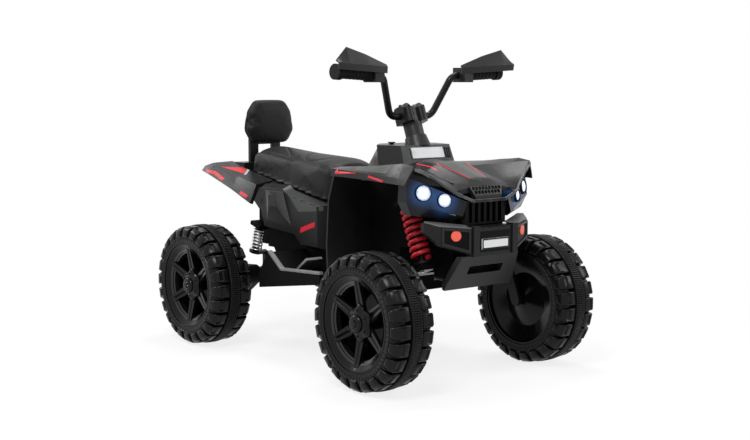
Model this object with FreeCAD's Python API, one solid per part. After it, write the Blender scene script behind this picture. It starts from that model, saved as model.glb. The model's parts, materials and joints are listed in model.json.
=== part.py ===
import FreeCAD
import Part
import os
from math import acos, cos, hypot, pi, radians, sin, tan

from FreeCAD import Vector

# A battery quad bike for a child: four lugged wheels, a sprung and steered front
# axle, a sprung rear swing arm with two gear motors, and a faceted moulded body.
# Millimetres, +Z up, front towards -Y, the vehicle's right side towards -X.
# The origin lies on the ground below the middle of the wheelbase.

# Stance
WHEEL_RADIUS = 150.0
TRACK = 490.0
WHEELBASE = 680.0
RAKE_DEG = 21.0

# Walls, fits and cuts
WALL = 4.0
SKIN = 3.2
FIT_GAP = 0.3
SNUG_GAP = 0.05
RUNNING_GAP = 0.08
OVERRUN = 6.0

# Chassis tub: a tall narrow cowl in front, a low wide middle and a narrow tail
FLOOR_RISE = 25.0
NOSE_FLOOR_RISE = 80.0
TAIL_FLOOR_RISE = 92.0
TUB_HEIGHT = 155.0
COWL_HEIGHT = 255.0
NOSE_REACH = 65.0
COWL_DEPTH = 300.0
TAIL_INSET = 8.0
HAUNCH_SETBACK = 85.0
ARCH_RISE = 136.0
ARCH_FRONT_AHEAD = 5.0
ARCH_REAR_BACK = 110.0
ARCH_DRAFT = 18.0
TAIL_FLOOR_AHEAD = 110.0
FLOOR_REAR_AHEAD = 155.0
COWL_WIDTH = 150.0
TUB_WIDTH = 210.0
TAIL_WIDTH = 160.0
SHOULDER = 15.0

# Steering column, its bearings and the crank at its foot
COLUMN_RADIUS = 9.0
COLUMN_TOP = 440.0
SLEEVE_RADIUS = 22.0
SLEEVE_LENGTH = 32.0
BEARING_RADIUS = 17.0
BEARING_LENGTH = 34.0
CRANK_THICKNESS = 8.0
CRANK_WIDTH = 22.0
CRANK_PIN_RADIUS = 5.0
CRANK_PIN_DROP = 20.0
CRANK_HEADROOM = 3.0
STEERING_ARM = 46.0

# Boot round the column on the dash
BOOT_BASE_RADIUS = 38.0
BOOT_TOP_RADIUS = 25.0
BOOT_DEPTH = 62.0

# Handlebar, in the column's own leaning frame
BAR_RADIUS = 8.0
BAR_RISE = 18.0
BAR_CENTRE_HALF = 62.0
BAR_BEND_HALF = 104.0
BAR_HALF_WIDTH = 236.0
BAR_UPSWEEP = 78.0
BAR_TIP_RISE = 4.0
BAR_LEAN = 58.0
BAR_TIP_LEAN = 68.0
BAR_BEND_RADIUS = 26.0
CLAMP_WIDTH = 66.0
CLAMP_DEPTH = 36.0
CLAMP_HEIGHT = 40.0
CLAMP_RIDGE_RADIUS = 11.0
CLAMP_RIDGE_SPACING = 38.0
CLAMP_CHAMFER = 6.0
GRIP_RADIUS = 14.5
GRIP_LENGTH = 86.0
GRIP_FLANGE_RADIUS = 17.5
GRIP_FLANGE_WIDTH = 5.0
GRIP_RING_COUNT = 7
GRIP_RING_WIDTH = 5.0
GRIP_RING_DEPTH = 1.4
GRIP_NECK_RADIUS = 10.0
GRIP_NECK_LENGTH = 4.0
GRIP_KNOB_WIDTH = 7.0

# Hand guards: sections along the grip, as shares of reach and crest
GUARD_INNER_X = 112.0
GUARD_OUTER_X = 262.0
GUARD_REACH = 40.0
GUARD_CREST = 54.0
GUARD_FOOT_RISE = 4.0
GUARD_STAY_WIDTH = 26.0
GUARD_STAY_SETBACK = 22.0
GUARD_STAY_WALL = 9.0
GUARD_SECTION_SHARES = (
    # along, foot reach, ridge reach, crest reach, crest height
    (0.00, 0.64, 0.68, 0.56, 0.44),
    (0.42, 0.92, 0.98, 0.56, 0.78),
    (0.80, 0.94, 1.00, 0.60, 1.00),
    (1.00, 0.88, 0.94, 0.64, 0.46),
)
GUARD_RIDGE_SHARE = 0.34

# Hood, from the dash to the grille, as shares of its length and height
HOOD_LENGTH = 176.0
HOOD_HEIGHT = 54.0
HOOD_PANEL_HALF = 41.0
HOOD_STATION_SHARES = (
    # along, underside, side, panel edge, ridge
    (0.00, 0.00, 0.60, 0.93, 0.98),
    (0.38, 0.00, 0.59, 0.87, 0.93),
    (0.89, 0.00, 0.19, 0.31, 0.37),
    (1.00, -0.22, -0.07, 0.05, 0.09),
)

# Dash console with its instrument panel
DASH_LENGTH = 143.0
DASH_SEAT_HEIGHT = 32.0
DASH_HEIGHT = 84.0
DASH_FOOT_SHARES = ((1.04, 1.00), (1.26, 0.50), (1.12, 0.12))
DASH_TOP_SHARES = ((0.98, 0.86), (1.18, 0.39), (0.54, 0.05))
PANEL_WIDTH = 96.0
PANEL_THICKNESS = 3.0
PANEL_SPAN_SHARES = (0.42, 0.88)
BUTTON_RADIUS = 9.0
BUTTON_STEM_RADIUS = 5.0
BUTTON_STEM_LENGTH = 9.0
BUTTON_PROUD = 3.0
BUTTON_TRAVEL = 2.5
SWITCH_X = 44.0
SWITCH_LENGTH = 26.0
SWITCH_WIDTH = 14.0
SWITCH_RISE = 6.0
SWITCH_PIN_RADIUS = 2.0
SWITCH_BOSS_WALL = 4.0

# Front fenders, right one drawn, as shares of width and rise above the cowl
FENDER_START = 20.0
FENDER_LENGTH = 315.0
FENDER_WIDTH = 117.0
FENDER_RISE = 54.0
FENDER_STRIP_SHARE = 0.16
FENDER_STATION_SHARES = (
    # along, inner height, ridge place, ridge height, edge place, edge height, lip height
    (0.000, None, 0.76, 0.66, 0.97, 0.60, 0.30),
    (0.390, None, 0.76, 0.80, 0.97, 0.52, 0.26),
    (0.733, 0.38, 0.84, 1.00, 0.96, 0.42, 0.18),
    (1.000, -0.24, 0.84, 0.80, 0.96, 0.33, 0.12),
)
BROW_REACH = 100.0
BROW_SWEEP_SHARE = 0.5
FLAP_THICKNESS = 5.0
FLAP_DEPTH = 46.0
FLAP_SHARES = ((0.07, 0.0), (0.0, 0.27), (0.17, 0.70), (0.59, 0.93), (1.0, 1.0))

# Nose grille, fascia with slats, and headlights
GRILLE_TOP_HALF = 48.0
GRILLE_FOOT_HALF = 36.0
GRILLE_HEIGHT = 31.0
GRILLE_LIP = 13.0
GRILLE_PROUD_SHARES = ((0.0, 0.2), (0.55, 0.85), (0.62, 1.0), (1.0, 1.0))
HEX_RADIUS = 4.6
HEX_PITCH = 9.6
HEX_DEPTH = 5.0
HEX_COLUMNS = 9
FASCIA_HALF = 61.0
FASCIA_HEIGHT = 52.0
FASCIA_DEPTH = 22.0
SLAT_COUNT = 6
SLAT_GAP_SHARE = 0.55
SLAT_DEPTH = 12.0
LAMP_PANEL_DEPTH = 88.0
LAMP_PANEL_LEAN_SHARE = 0.12
LAMP_PANEL_REACH = 29.0
LAMP_PANEL_WIDTH = 120.0
LAMP_PANEL_HEIGHT = 86.0
LAMP_PANEL_SHARES = ((0.97, 1.0), (0.0, 0.36), (0.09, 0.0), (1.0, 0.36))
CHEEK_DROP = 10.0
CHEEK_BACKSET = 14.0
CHEEK_SHARES = ((0.04, 0.0), (0.86, 0.14))
BIG_LAMP_RADIUS = 16.5
SMALL_LAMP_RADIUS = 14.5
BIG_LAMP_SHARES = (0.72, 0.59)
SMALL_LAMP_SHARES = (0.38, 0.40)
LAMP_POCKET = 9.0
LENS_CROWN_SHARE = 0.3

# Front bumper, plate, reflectors and lower bull bar
BUMPER_REACH = 53.0
BUMPER_HALF = 58.0
BUMPER_RISE = 135.0
BUMPER_HEIGHT = 62.0
POST_WIDTH = 16.0
POST_DEPTH = 17.0
POST_OVERHANG = 4.0
WING_SPAN = 150.0
WING_BEND = 130.0
WING_DEPTH = 14.0
WING_TIP_DEPTH = 10.0
WING_BEND_SWEEP = 31.0
WING_SWEEP = 62.0
WING_ROOT_SHARES = (0.03, 0.94)
WING_BEND_SHARES = (0.40, 1.05)
WING_TIP_SHARES = (0.85, 1.18)
RIB_COUNT = 9
RIB_WIDTH = 4.0
RIB_DEPTH = 3.0
PLATE_WIDTH = 80.0
PLATE_HEIGHT = 23.0
PLATE_THICKNESS = 3.0
PLATE_LIFT = 14.0
REFLECTOR_RADIUS = 11.5
REFLECTOR_THICKNESS = 5.0
REFLECTOR_SPAN_SHARE = 0.56
REFLECTOR_RISE_SHARE = 0.74
BULL_BAR_FOOT_DROP = 22.0
BULL_BAR_REACH = 42.0
BULL_BAR_TOP_HALF = 80.0
BULL_BAR_FOOT_HALF = 100.0
BULL_BAR_TAIL_HALF = 66.0
BULL_BAR_TAIL = 72.0
BULL_BAR_PLATE = 7.0
SLOT_HALF = 50.0
SLOT_HEIGHT = 18.0
SLOT_LIFT_SHARE = 0.56

# Footboards, right one drawn, as shares of length and height
FOOTBOARD_WIDTH = 112.0
FOOTBOARD_LENGTH = 244.0
FOOTBOARD_HEIGHT = 89.0
FOOTBOARD_START = 8.0
FOOTBOARD_DROP = 12.0
FOOTBOARD_SHARES = ((0.0, 0.39), (1.0, 0.0), (1.0, 0.42), (0.85, 1.0), (0.635, 0.57), (0.0, 0.65))
TRAY_FLOOR_SHARE = 0.47
TRAY_END_SHARE = 0.60
TREAD_RIB_COUNT = 8
TREAD_RIB_WIDTH = 4.0
TREAD_RIB_HEIGHT = 2.5
TRIM_WIDTH = 11.0
TRIM_THICKNESS = 6.0

# Accelerator pedal on the right footboard
PEDAL_WIDTH = 46.0
PEDAL_LENGTH = 54.0
PEDAL_THICKNESS = 6.0
PEDAL_PITCH_DEG = 36.0
PEDAL_PIN_RADIUS = 3.0
PEDAL_LUG_WIDTH = 6.0
PEDAL_LUG_RADIUS = 7.0
PEDAL_KNUCKLE_RADIUS = 5.0
PEDAL_PLACE_SHARE = 0.57
PEDAL_RIB_COUNT = 5
PEDAL_RIB_WIDTH = 3.5
PEDAL_RIB_HEIGHT = 2.0

# Side panels with their raised blister, as shares of length and height
SIDE_LENGTH = 259.0
SIDE_HEIGHT = 118.0
SIDE_DEPTH = 25.0
SIDE_BLISTER = 20.0
SIDE_TAPER_SHARE = 0.88
SIDE_OUTLINE_SHARES = (
    (0.0, 0.68), (0.0, -0.26), (0.29, -0.26), (0.41, -0.03), (0.97, 0.06),
    (1.04, 0.45), (1.03, 0.98), (0.62, 1.0), (0.55, 0.90),
)
BLISTER_SHARES = ((0.95, 0.88), (0.60, 0.88), (0.44, 0.08), (0.90, 0.16))
BLISTER_CREST_SHARES = ((0.75, 0.80), (0.65, 0.82), (0.61, 0.56), (0.74, 0.58))

# Rear body under the seat, with the tail deck
SEAT_PAN_SIDE = 5.0
SEAT_PAN_FRONT_RISE = 36.0
SEAT_PAN_REAR_RISE = 94.0
SEAT_FRONT_BACK = 125.0
SEAT_TAIL_GAP = 10.0
TUNNEL_RISE = 18.0
DECK_REACH = 70.0
DECK_RISE = 116.0
DECK_LENGTH = 52.0
DECK_FOOT_RISE = 62.0

# Rear fenders, right one drawn, as shares of width, length and rise
REAR_FENDER_LENGTH = 219.0
REAR_FENDER_WIDTH = 75.0
REAR_FENDER_RISE = 118.0
REAR_FENDER_EDGE = 9.0
REAR_FENDER_STATION_SHARES = (
    # along, inner height, crease place, crease height, edge place, edge height
    (0.00, 0.66, 0.67, 0.585, 0.93, 0.19),
    (0.39, 0.80, 0.67, 0.735, 0.96, 0.46),
    (0.85, 1.00, 0.80, 0.980, 1.00, 0.73),
    (1.00, 0.93, 0.86, 0.900, 1.00, 0.80),
)

# Seat cushion: sections from front to rear, as shares of length, width and depth
CUSHION_FRONT_HALF = 96.0
CUSHION_REAR_HALF = 70.0
CUSHION_FRONT_DEPTH = 98.0
CUSHION_REAR_DEPTH = 65.0
CUSHION_CORNER = 15.0
CUSHION_CROWN = 11.0
CUSHION_STATION_SHARES = (
    # along, half width, depth
    (0.000, 0.80, 0.70),
    (0.035, 0.93, 0.93),
    (0.140, 1.00, 1.00),
    (0.500, 0.97, 0.97),
    (0.900, 1.00, 1.00),
    (0.970, 0.96, 0.94),
    (1.000, 0.84, 0.76),
)
CUSHION_LEAN_SHARE = 0.86

# Backrest
BACKREST_WIDTH = 160.0
BACKREST_HEIGHT = 121.0
BACKREST_DEPTH = 36.0
BACKREST_LIFT = 46.0
BACKREST_CORNER = 24.0
BACKREST_SHARES = (
    (-0.36, 0.0), (0.36, 0.0), (0.50, 0.30), (0.44, 0.74),
    (0.30, 1.0), (-0.30, 1.0), (-0.44, 0.74), (-0.50, 0.30),
)
BACKREST_SECTION_SHARES = ((0.00, 0.82), (0.16, 0.95), (0.40, 1.00), (0.66, 0.97), (0.88, 0.86), (1.00, 0.62))
POST_SPACING = 70.0
BACK_POST_WIDTH = 26.0
BACK_POST_DEPTH = 11.0
BACK_PLATE_SHARE = 0.66
BACK_PLATE_THICKNESS = 6.0

# Battery and control box inside the tub
BATTERY_WIDTH = 98.0
BATTERY_LENGTH = 151.0
BATTERY_HEIGHT = 95.0
BATTERY_BACK = 135.0
BATTERY_TERMINAL = 10.0
BATTERY_TERMINAL_INSET = 14.0
CONTROL_WIDTH = 90.0
CONTROL_LENGTH = 64.0
CONTROL_HEIGHT = 34.0
CONTROL_BACK = 30.0
CONTROL_PLUG = 12.0

# Front axle beam with its yokes and kingpins, in the leaning frame
KINGPIN_INSET = 79.0
BEAM_LIFT = 100.0
BEAM_HEIGHT = 26.0
BEAM_DEPTH = 26.0
YOKE_RADIUS = 14.0
YOKE_THICKNESS = 9.0
KNUCKLE_HEIGHT = 40.0
KNUCKLE_RADIUS = 14.0
KINGPIN_RADIUS = 5.0
KINGPIN_HEAD = 4.0
LEG_GAP = 1.3
LEG_THICKNESS = 9.0
LEG_WIDTH = 26.0
LEG_BRIDGE = 22.0
ARM_THICKNESS = 8.0
ARM_WIDTH = 14.0
TIE_ROD_RADIUS = 4.2
TIE_EYE_RADIUS = 11.0
TIE_EYE_THICKNESS = 9.0
TIE_PIN_RADIUS = 4.0
TIE_PIN_HEAD = 3.0
TIE_PIN_HEAD_RADIUS = 7.0
STUB_RADIUS = 6.0
STUB_COLLAR_RADIUS = 10.0
NUT_ACROSS = 19.0
NUT_THICKNESS = 8.0

# Front shocks and springs, parallel to the column
SHOCK_X = 101.0
SHOCK_LEAD = 37.0
SHOCK_TUBE_RADIUS = 11.0
SHOCK_ROD_RADIUS = 7.0
SHOCK_SEAT_RADIUS = 22.5
SHOCK_SEAT_THICKNESS = 5.0
SHOCK_SPRING_FOOT = 108.0
FRONT_COIL_RADIUS = 18.0
FRONT_WIRE_RADIUS = 5.0
FRONT_PITCH = 14.5
FRONT_TURNS = 8
SHOCK_TUBE_LENGTH = 96.0
SHOCK_PERCH_WIDTH = 36.0
TOWER_THICKNESS = 10.0
TOWER_WIDTH = 50.0
FRONT_TRAVEL = 12.0

# Rear swing arm, its springs, axle, gearboxes and motors
PIVOT_AHEAD = 140.0
PIVOT_RISE = 8.0
PIVOT_LUG_RADIUS = 13.0
PIVOT_LUG_WIDTH = 9.0
PIVOT_LUG_X = 88.0
TRUNNION_RADIUS = 6.0
CROSS_TUBE_RADIUS = 10.0
SWING_BAR_X = 66.0
SWING_BAR_WIDTH = 20.0
SWING_BAR_HEIGHT = 18.0
AXLE_TUBE_RADIUS = 13.0
AXLE_RADIUS = 6.0
GEARBOX_INSET = 69.0
GEARBOX_THICKNESS = 52.0
GEARBOX_RADIUS = 40.0
GEARBOX_NOSE_RADIUS = 24.0
GEARBOX_LINE = 3.0
MOTOR_AHEAD = 58.0
MOTOR_RISE = 20.0
MOTOR_RADIUS = 18.0
MOTOR_LENGTH = 40.0
MOTOR_CAP_RADIUS = 8.0
MOTOR_CAP_LENGTH = 4.0
REAR_SPRING_X = 101.0
REAR_SPRING_AHEAD = 22.0
REAR_SPRING_RISE = 75.0
REAR_SPRING_TILT_DEG = 17.0
REAR_COIL_RADIUS = 13.0
REAR_WIRE_RADIUS = 2.2
REAR_PITCH = 8.6
REAR_TURNS = 7
REAR_SEAT_RADIUS = 17.0
REAR_SEAT_THICKNESS = 5.0
REAR_PEG_RADIUS = 8.0
REAR_PEG_LENGTH = 14.0
REAR_BRACKET_WIDTH = 40.0
REAR_POST_WIDTH = 14.0

# Wheels, right one drawn about its own axis with its outer face towards -X
CARCASS_HALF = 53.0
CARCASS_RADIUS = 137.0
CARCASS_WALL = 5.0
BEAD_RADIUS = 104.0
CARCASS_SHARES = ((0.98, 0.0), (1.0, 0.36), (0.93, 0.76), (0.72, 1.0))
LUG_COUNT = 24
LUG_HEIGHT = 10.0
LUG_LENGTH = 28.0
LUG_HALF = 56.0
LUG_PROFILE_SHARES = ((0.29, 1.0), (0.75, 0.90), (0.91, 0.35), (1.0, -1.6), (0.93, -2.2))
BAND_HALF = 13.0
BAND_EDGE = 2.0
RIM_BARREL_WALL = 4.0
RIM_HALF = 51.0
RIM_LIP_RADIUS = 90.0
RIM_LIP_DEPTH = 7.0
RIM_EDGE = 3.0
RIM_DISC_THICKNESS = 5.0
RIM_DISC_SHARES = ((1.0, 0.82), (0.60, 0.56), (0.17, 0.86))
HUB_RADIUS = 18.0
HUB_OUTER_HALF = 45.0
HUB_INNER_HALF = 48.0
SPOKE_COUNT = 6
SPOKE_HUB_WIDTH = 26.0
SPOKE_RIM_WIDTH = 15.0
SPOKE_THICKNESS = 9.0
SPOKE_DISH = 14.0
SPOKE_GROOVE_SHARE = 0.36
SPOKE_GROOVE_DEPTH = 4.0

# Places worked out from the sizes above
AXLE_Z = WHEEL_RADIUS
FRONT_AXLE_Y = -WHEELBASE / 2
REAR_AXLE_Y = WHEELBASE / 2
WHEEL_X = TRACK / 2
KINGPIN_X = WHEEL_X - KINGPIN_INSET
GEARBOX_OUTER_X = WHEEL_X - GEARBOX_INSET
GEARBOX_INNER_X = GEARBOX_OUTER_X - GEARBOX_THICKNESS
FLOOR_Z = AXLE_Z + FLOOR_RISE
NOSE_FLOOR_Z = AXLE_Z + NOSE_FLOOR_RISE
ARCH_Z = AXLE_Z + ARCH_RISE
TAIL_FLOOR_Z = AXLE_Z + TAIL_FLOOR_RISE
RIM_Z = FLOOR_Z + TUB_HEIGHT
COWL_Z = FLOOR_Z + COWL_HEIGHT
NOSE_Y = FRONT_AXLE_Y - NOSE_REACH
COWL_Y = NOSE_Y + COWL_DEPTH
HAUNCH_Y = REAR_AXLE_Y - HAUNCH_SETBACK
TAIL_Y = REAR_AXLE_Y - TAIL_INSET
DECK_Y = REAR_AXLE_Y + DECK_REACH
COWL_HALF = COWL_WIDTH / 2
TUB_HALF = TUB_WIDTH / 2
TAIL_HALF = TAIL_WIDTH / 2
DASH_FRONT_Y = COWL_Y - DASH_LENGTH
DASH_SEAT_Z = COWL_Z + DASH_SEAT_HEIGHT
DASH_TOP_Z = COWL_Z + DASH_HEIGHT
HOOD_REAR_Y = DASH_FRONT_Y - FIT_GAP
HOOD_FRONT_Y = HOOD_REAR_Y - HOOD_LENGTH
SEAT_FRONT_Y = COWL_Y + SEAT_FRONT_BACK
SEAT_REAR_Y = DECK_Y - SEAT_TAIL_GAP
SEAT_LENGTH = SEAT_REAR_Y - SEAT_FRONT_Y
PIVOT_Y = REAR_AXLE_Y - PIVOT_AHEAD
PIVOT_Z = AXLE_Z + PIVOT_RISE
BAR_W = COLUMN_TOP + BAR_RISE
COLUMN_FOOT = BEAM_LIFT + BEAM_HEIGHT / 2 + FRONT_TRAVEL + CRANK_HEADROOM
ORIGIN = Vector(0, 0, 0)
AXIS_X = Vector(1, 0, 0)
AXIS_Z = Vector(0, 0, 1)


# Shape helpers
def closed(points):
    """A closed wire through the points."""
    return Part.makePolygon(list(points) + [points[0]])


def prism_x(outline, x0, x1):
    """An outline of (y, z) pairs pushed along X."""
    face = Part.Face(closed([Vector(x0, y, z) for y, z in outline]))
    return face.extrude(Vector(x1 - x0, 0, 0))


def prism_y(outline, y0, y1):
    """An outline of (x, z) pairs pushed along Y."""
    face = Part.Face(closed([Vector(x, y0, z) for x, z in outline]))
    return face.extrude(Vector(0, y1 - y0, 0))


def prism_z(outline, z0, z1):
    """An outline of (x, y) pairs pushed along Z."""
    face = Part.Face(closed([Vector(x, y, z0) for x, y in outline]))
    return face.extrude(Vector(0, 0, z1 - z0))


def block(x0, x1, y0, y1, z0, z1):
    """A plain block between two corners."""
    return Part.makeBox(x1 - x0, y1 - y0, z1 - z0, Vector(x0, y0, z0))


def loft(sections):
    """A ruled solid through polygons with the same number of points."""
    return Part.makeLoft([closed(section) for section in sections], True, True)


def mirrored(shape):
    """The same piece on the vehicle's other side."""
    return shape.mirror(ORIGIN, AXIS_X)


def pair(shape):
    """A right piece and its left twin as two separate solids."""
    return Part.makeCompound([shape, mirrored(shape)])


def symmetric(half):
    """A list of (x, other) pairs for x below zero, followed by its mirror image."""
    return list(half) + [(-x, other) for x, other in reversed(half)]


def rod(start, end, radius):
    """A round rod between two points."""
    return Part.makeCylinder(radius, (end - start).Length, start, end - start)


def rod_x(x0, x1, y, z, radius):
    """A round rod along X."""
    return rod(Vector(x0, y, z), Vector(x1, y, z), radius)


def rod_z(x, y, z0, z1, radius):
    """A round rod along Z."""
    return rod(Vector(x, y, z0), Vector(x, y, z1), radius)


def revolve_x(outline):
    """An outline of (x, radius) pairs turned about the X axis."""
    face = Part.Face(closed([Vector(x, 0, radius) for x, radius in outline]))
    return face.revolve(ORIGIN, AXIS_X, 360)


def revolve_z(outline):
    """An outline of (radius, z) pairs turned about the Z axis."""
    face = Part.Face(closed([Vector(radius, 0, z) for radius, z in outline]))
    return face.revolve(ORIGIN, AXIS_Z, 360)


def aimed(shape, direction, base):
    """A shape drawn along +Z from the origin, turned to a direction and moved to a base."""
    turned = shape.copy()
    turned.Placement = FreeCAD.Placement(base, FreeCAD.Rotation(AXIS_Z, direction)).multiply(shape.Placement)
    return turned


def leaning(shape):
    """A shape drawn about an upright steering axis, leaned back over the front axle."""
    placed = shape.copy()
    placed.rotate(ORIGIN, AXIS_X, -RAKE_DEG)
    placed.translate(Vector(0, FRONT_AXLE_Y, AXLE_Z))
    return placed


def fused(shapes):
    """One solid from touching or overlapping shapes."""
    return shapes[0].multiFuse(shapes[1:]).removeSplitter()


def offset_line(points, distance):
    """An open line of (a, b) pairs moved sideways, to the right of its direction."""
    moved = []
    for place, point in enumerate(points):
        before = points[max(place - 1, 0)]
        after = points[min(place + 1, len(points) - 1)]
        normals = []
        for start, end in ((before, point), (point, after)):
            length = hypot(end[0] - start[0], end[1] - start[1])
            if length > 0:
                normals.append(((end[1] - start[1]) / length, -(end[0] - start[0]) / length))
        across = (sum(n[0] for n in normals), sum(n[1] for n in normals))
        scale = distance * len(normals) / (across[0] ** 2 + across[1] ** 2)
        moved.append((point[0] + across[0] * scale, point[1] + across[1] * scale))
    return moved


def band(points, thickness):
    """A closed outline of a sheet that follows an open line."""
    return list(points) + list(reversed(offset_line(points, thickness)))


def corner_arc(before, corner, after, radius):
    """Start, middle and end of the tangent arc that rounds a corner."""
    towards = (before - corner).normalize()
    away = (after - corner).normalize()
    half = acos(max(-1.0, min(1.0, towards.dot(away)))) / 2
    reach = radius / tan(half)
    bisector = (towards + away).normalize()
    middle = corner + bisector * (radius / sin(half) - radius)
    return corner + towards * reach, middle, corner + away * reach


def rounded_wire(points, radius):
    """A closed wire through the points with every corner rounded."""
    count = len(points)
    arcs = []
    for place in range(count):
        arcs.append(corner_arc(points[place - 1], points[place], points[(place + 1) % count], radius))
    edges = []
    for place, (start, middle, end) in enumerate(arcs):
        edges.append(Part.Arc(start, middle, end).toShape())
        edges.append(Part.makeLine(end, arcs[(place + 1) % count][0]))
    return Part.Wire(edges)


def bent_tube(points, bend_radius, radius):
    """A round bar along straight runs joined by tangent arcs."""
    edges = []
    last = points[0]
    for before, corner, after in zip(points, points[1:], points[2:]):
        start, middle, end = corner_arc(before, corner, after, bend_radius)
        edges.append(Part.makeLine(last, start))
        edges.append(Part.Arc(start, middle, end).toShape())
        last = end
    edges.append(Part.makeLine(last, points[-1]))
    return swept(Part.Wire(edges), points[0], points[1] - points[0], radius)


def swept(path, start, direction, radius):
    """A round solid section swept along a path."""
    profile = Part.Wire(Part.makeCircle(radius, start, direction))
    sweep = Part.BRepOffsetAPI.MakePipeShell(path)
    sweep.add(profile)
    sweep.build()
    sweep.makeSolid()
    return sweep.shape()


def arc_from(start, tangent, end):
    """The circular arc that leaves a point along a tangent and ends at another point."""
    chord = end - start
    along = Vector(chord).normalize()
    side = tangent - along * tangent.dot(along)
    angle = acos(max(-1.0, min(1.0, tangent.dot(along))))
    middle = start + chord * 0.5 + side.normalize() * (chord.Length / 2 * tan(angle / 2))
    return Part.Arc(start, middle, end).toShape()


def coil(name, coil_radius, wire_radius, pitch, turns):
    """A spring about +Z: half turns as pairs of tangent arcs, with straight wire ends."""
    def place(angle):
        return Vector(coil_radius * cos(angle), coil_radius * sin(angle), pitch * angle / (2 * pi))

    def heading(angle):
        return Vector(-coil_radius * sin(angle), coil_radius * cos(angle), pitch / (2 * pi)).normalize()

    edges = [Part.makeLine(place(0) - heading(0) * (2 * wire_radius), place(0))]
    for half in range(2 * turns):
        start, end = place(pi * half), place(pi * (half + 1))
        leave, arrive = heading(pi * half), heading(pi * (half + 1))
        chord = end - start
        both = leave + arrive
        bend = 2 * (1 - leave.dot(arrive))
        reach = (-chord.dot(both) + (chord.dot(both) ** 2 + bend * chord.dot(chord)) ** 0.5) / bend
        joint = (start + end + (leave - arrive) * reach) * 0.5
        edges.append(arc_from(start, leave, joint))
        edges.append(arc_from(end, arrive * -1, joint))
    last = pi * 2 * turns
    edges.append(Part.makeLine(place(last), place(last) + heading(last) * (2 * wire_radius)))
    path = Part.Wire(Part.__sortEdges__(edges))
    first = place(0) - heading(0) * (2 * wire_radius)
    per_turn = 24
    points = [place(2 * pi * step / per_turn) for step in range(per_turn * turns)]
    nearest = min((points[i] - points[j]).Length for i in range(per_turn) for j in range(len(points))
                  if j - i >= per_turn / 2)
    print(f"{name}: least gap between turns {nearest - 2 * wire_radius:.2f} mm")
    return swept(path, first, heading(0), wire_radius)


def save(name, shape):
    """Write one node and say how large it is."""
    shape.exportStep(f"parts/{name}.step")
    print(f"{name}: {len(shape.Solids)} solids, {shape.Volume / 1000:.1f} cm3, valid {shape.isValid()}")


# Chassis
def rear_spring_direction():
    """The rear springs' axis, pointing up and forward."""
    return Vector(0, -sin(radians(REAR_SPRING_TILT_DEG)), cos(radians(REAR_SPRING_TILT_DEG)))


def rear_spring_foot():
    """Where the right rear spring stands on the swing arm."""
    return Vector(-REAR_SPRING_X, REAR_AXLE_Y - REAR_SPRING_AHEAD, AXLE_Z + REAR_SPRING_RISE)


def coil_foot(coil_radius, wire_radius, pitch):
    """Height of the first turn's middle above the seat, clear of the straight wire end."""
    rise = pitch / (2 * pi)
    return wire_radius + FIT_GAP + 2 * wire_radius * rise / hypot(coil_radius, rise)


def front_spring_height():
    """Height that a front spring fills between its two seats."""
    return FRONT_PITCH * FRONT_TURNS + 2 * coil_foot(FRONT_COIL_RADIUS, FRONT_WIRE_RADIUS, FRONT_PITCH)


def rear_spring_height():
    """Height that a rear spring fills between its two seats."""
    return REAR_PITCH * REAR_TURNS + 2 * coil_foot(REAR_COIL_RADIUS, REAR_WIRE_RADIUS, REAR_PITCH)


def tub_plan(wall):
    """Half plan of the tub, from nose to tail on the right side."""
    cowl, middle, tail = COWL_HALF - wall, TUB_HALF - wall, TAIL_HALF - wall
    return [
        (-cowl, NOSE_Y + wall), (-cowl, COWL_Y - SHOULDER), (-middle, COWL_Y),
        (-middle, HAUNCH_Y), (-tail, HAUNCH_Y + SHOULDER), (-tail, TAIL_Y - wall),
    ]


def tub_underside(wall):
    """The tub's floor line from tail to nose."""
    return [
        (TAIL_Y - wall, TAIL_FLOOR_Z + wall),
        (REAR_AXLE_Y - TAIL_FLOOR_AHEAD, TAIL_FLOOR_Z + wall),
        (REAR_AXLE_Y - FLOOR_REAR_AHEAD, FLOOR_Z + wall),
        (FRONT_AXLE_Y + ARCH_REAR_BACK + ARCH_DRAFT + wall, FLOOR_Z + wall),
        (FRONT_AXLE_Y + ARCH_REAR_BACK + wall, ARCH_Z + wall),
        (FRONT_AXLE_Y + ARCH_FRONT_AHEAD - wall, ARCH_Z + wall),
        (FRONT_AXLE_Y - ARCH_FRONT_AHEAD - wall, NOSE_FLOOR_Z + wall),
        (NOSE_Y + wall, NOSE_FLOOR_Z + wall),
    ]


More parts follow.
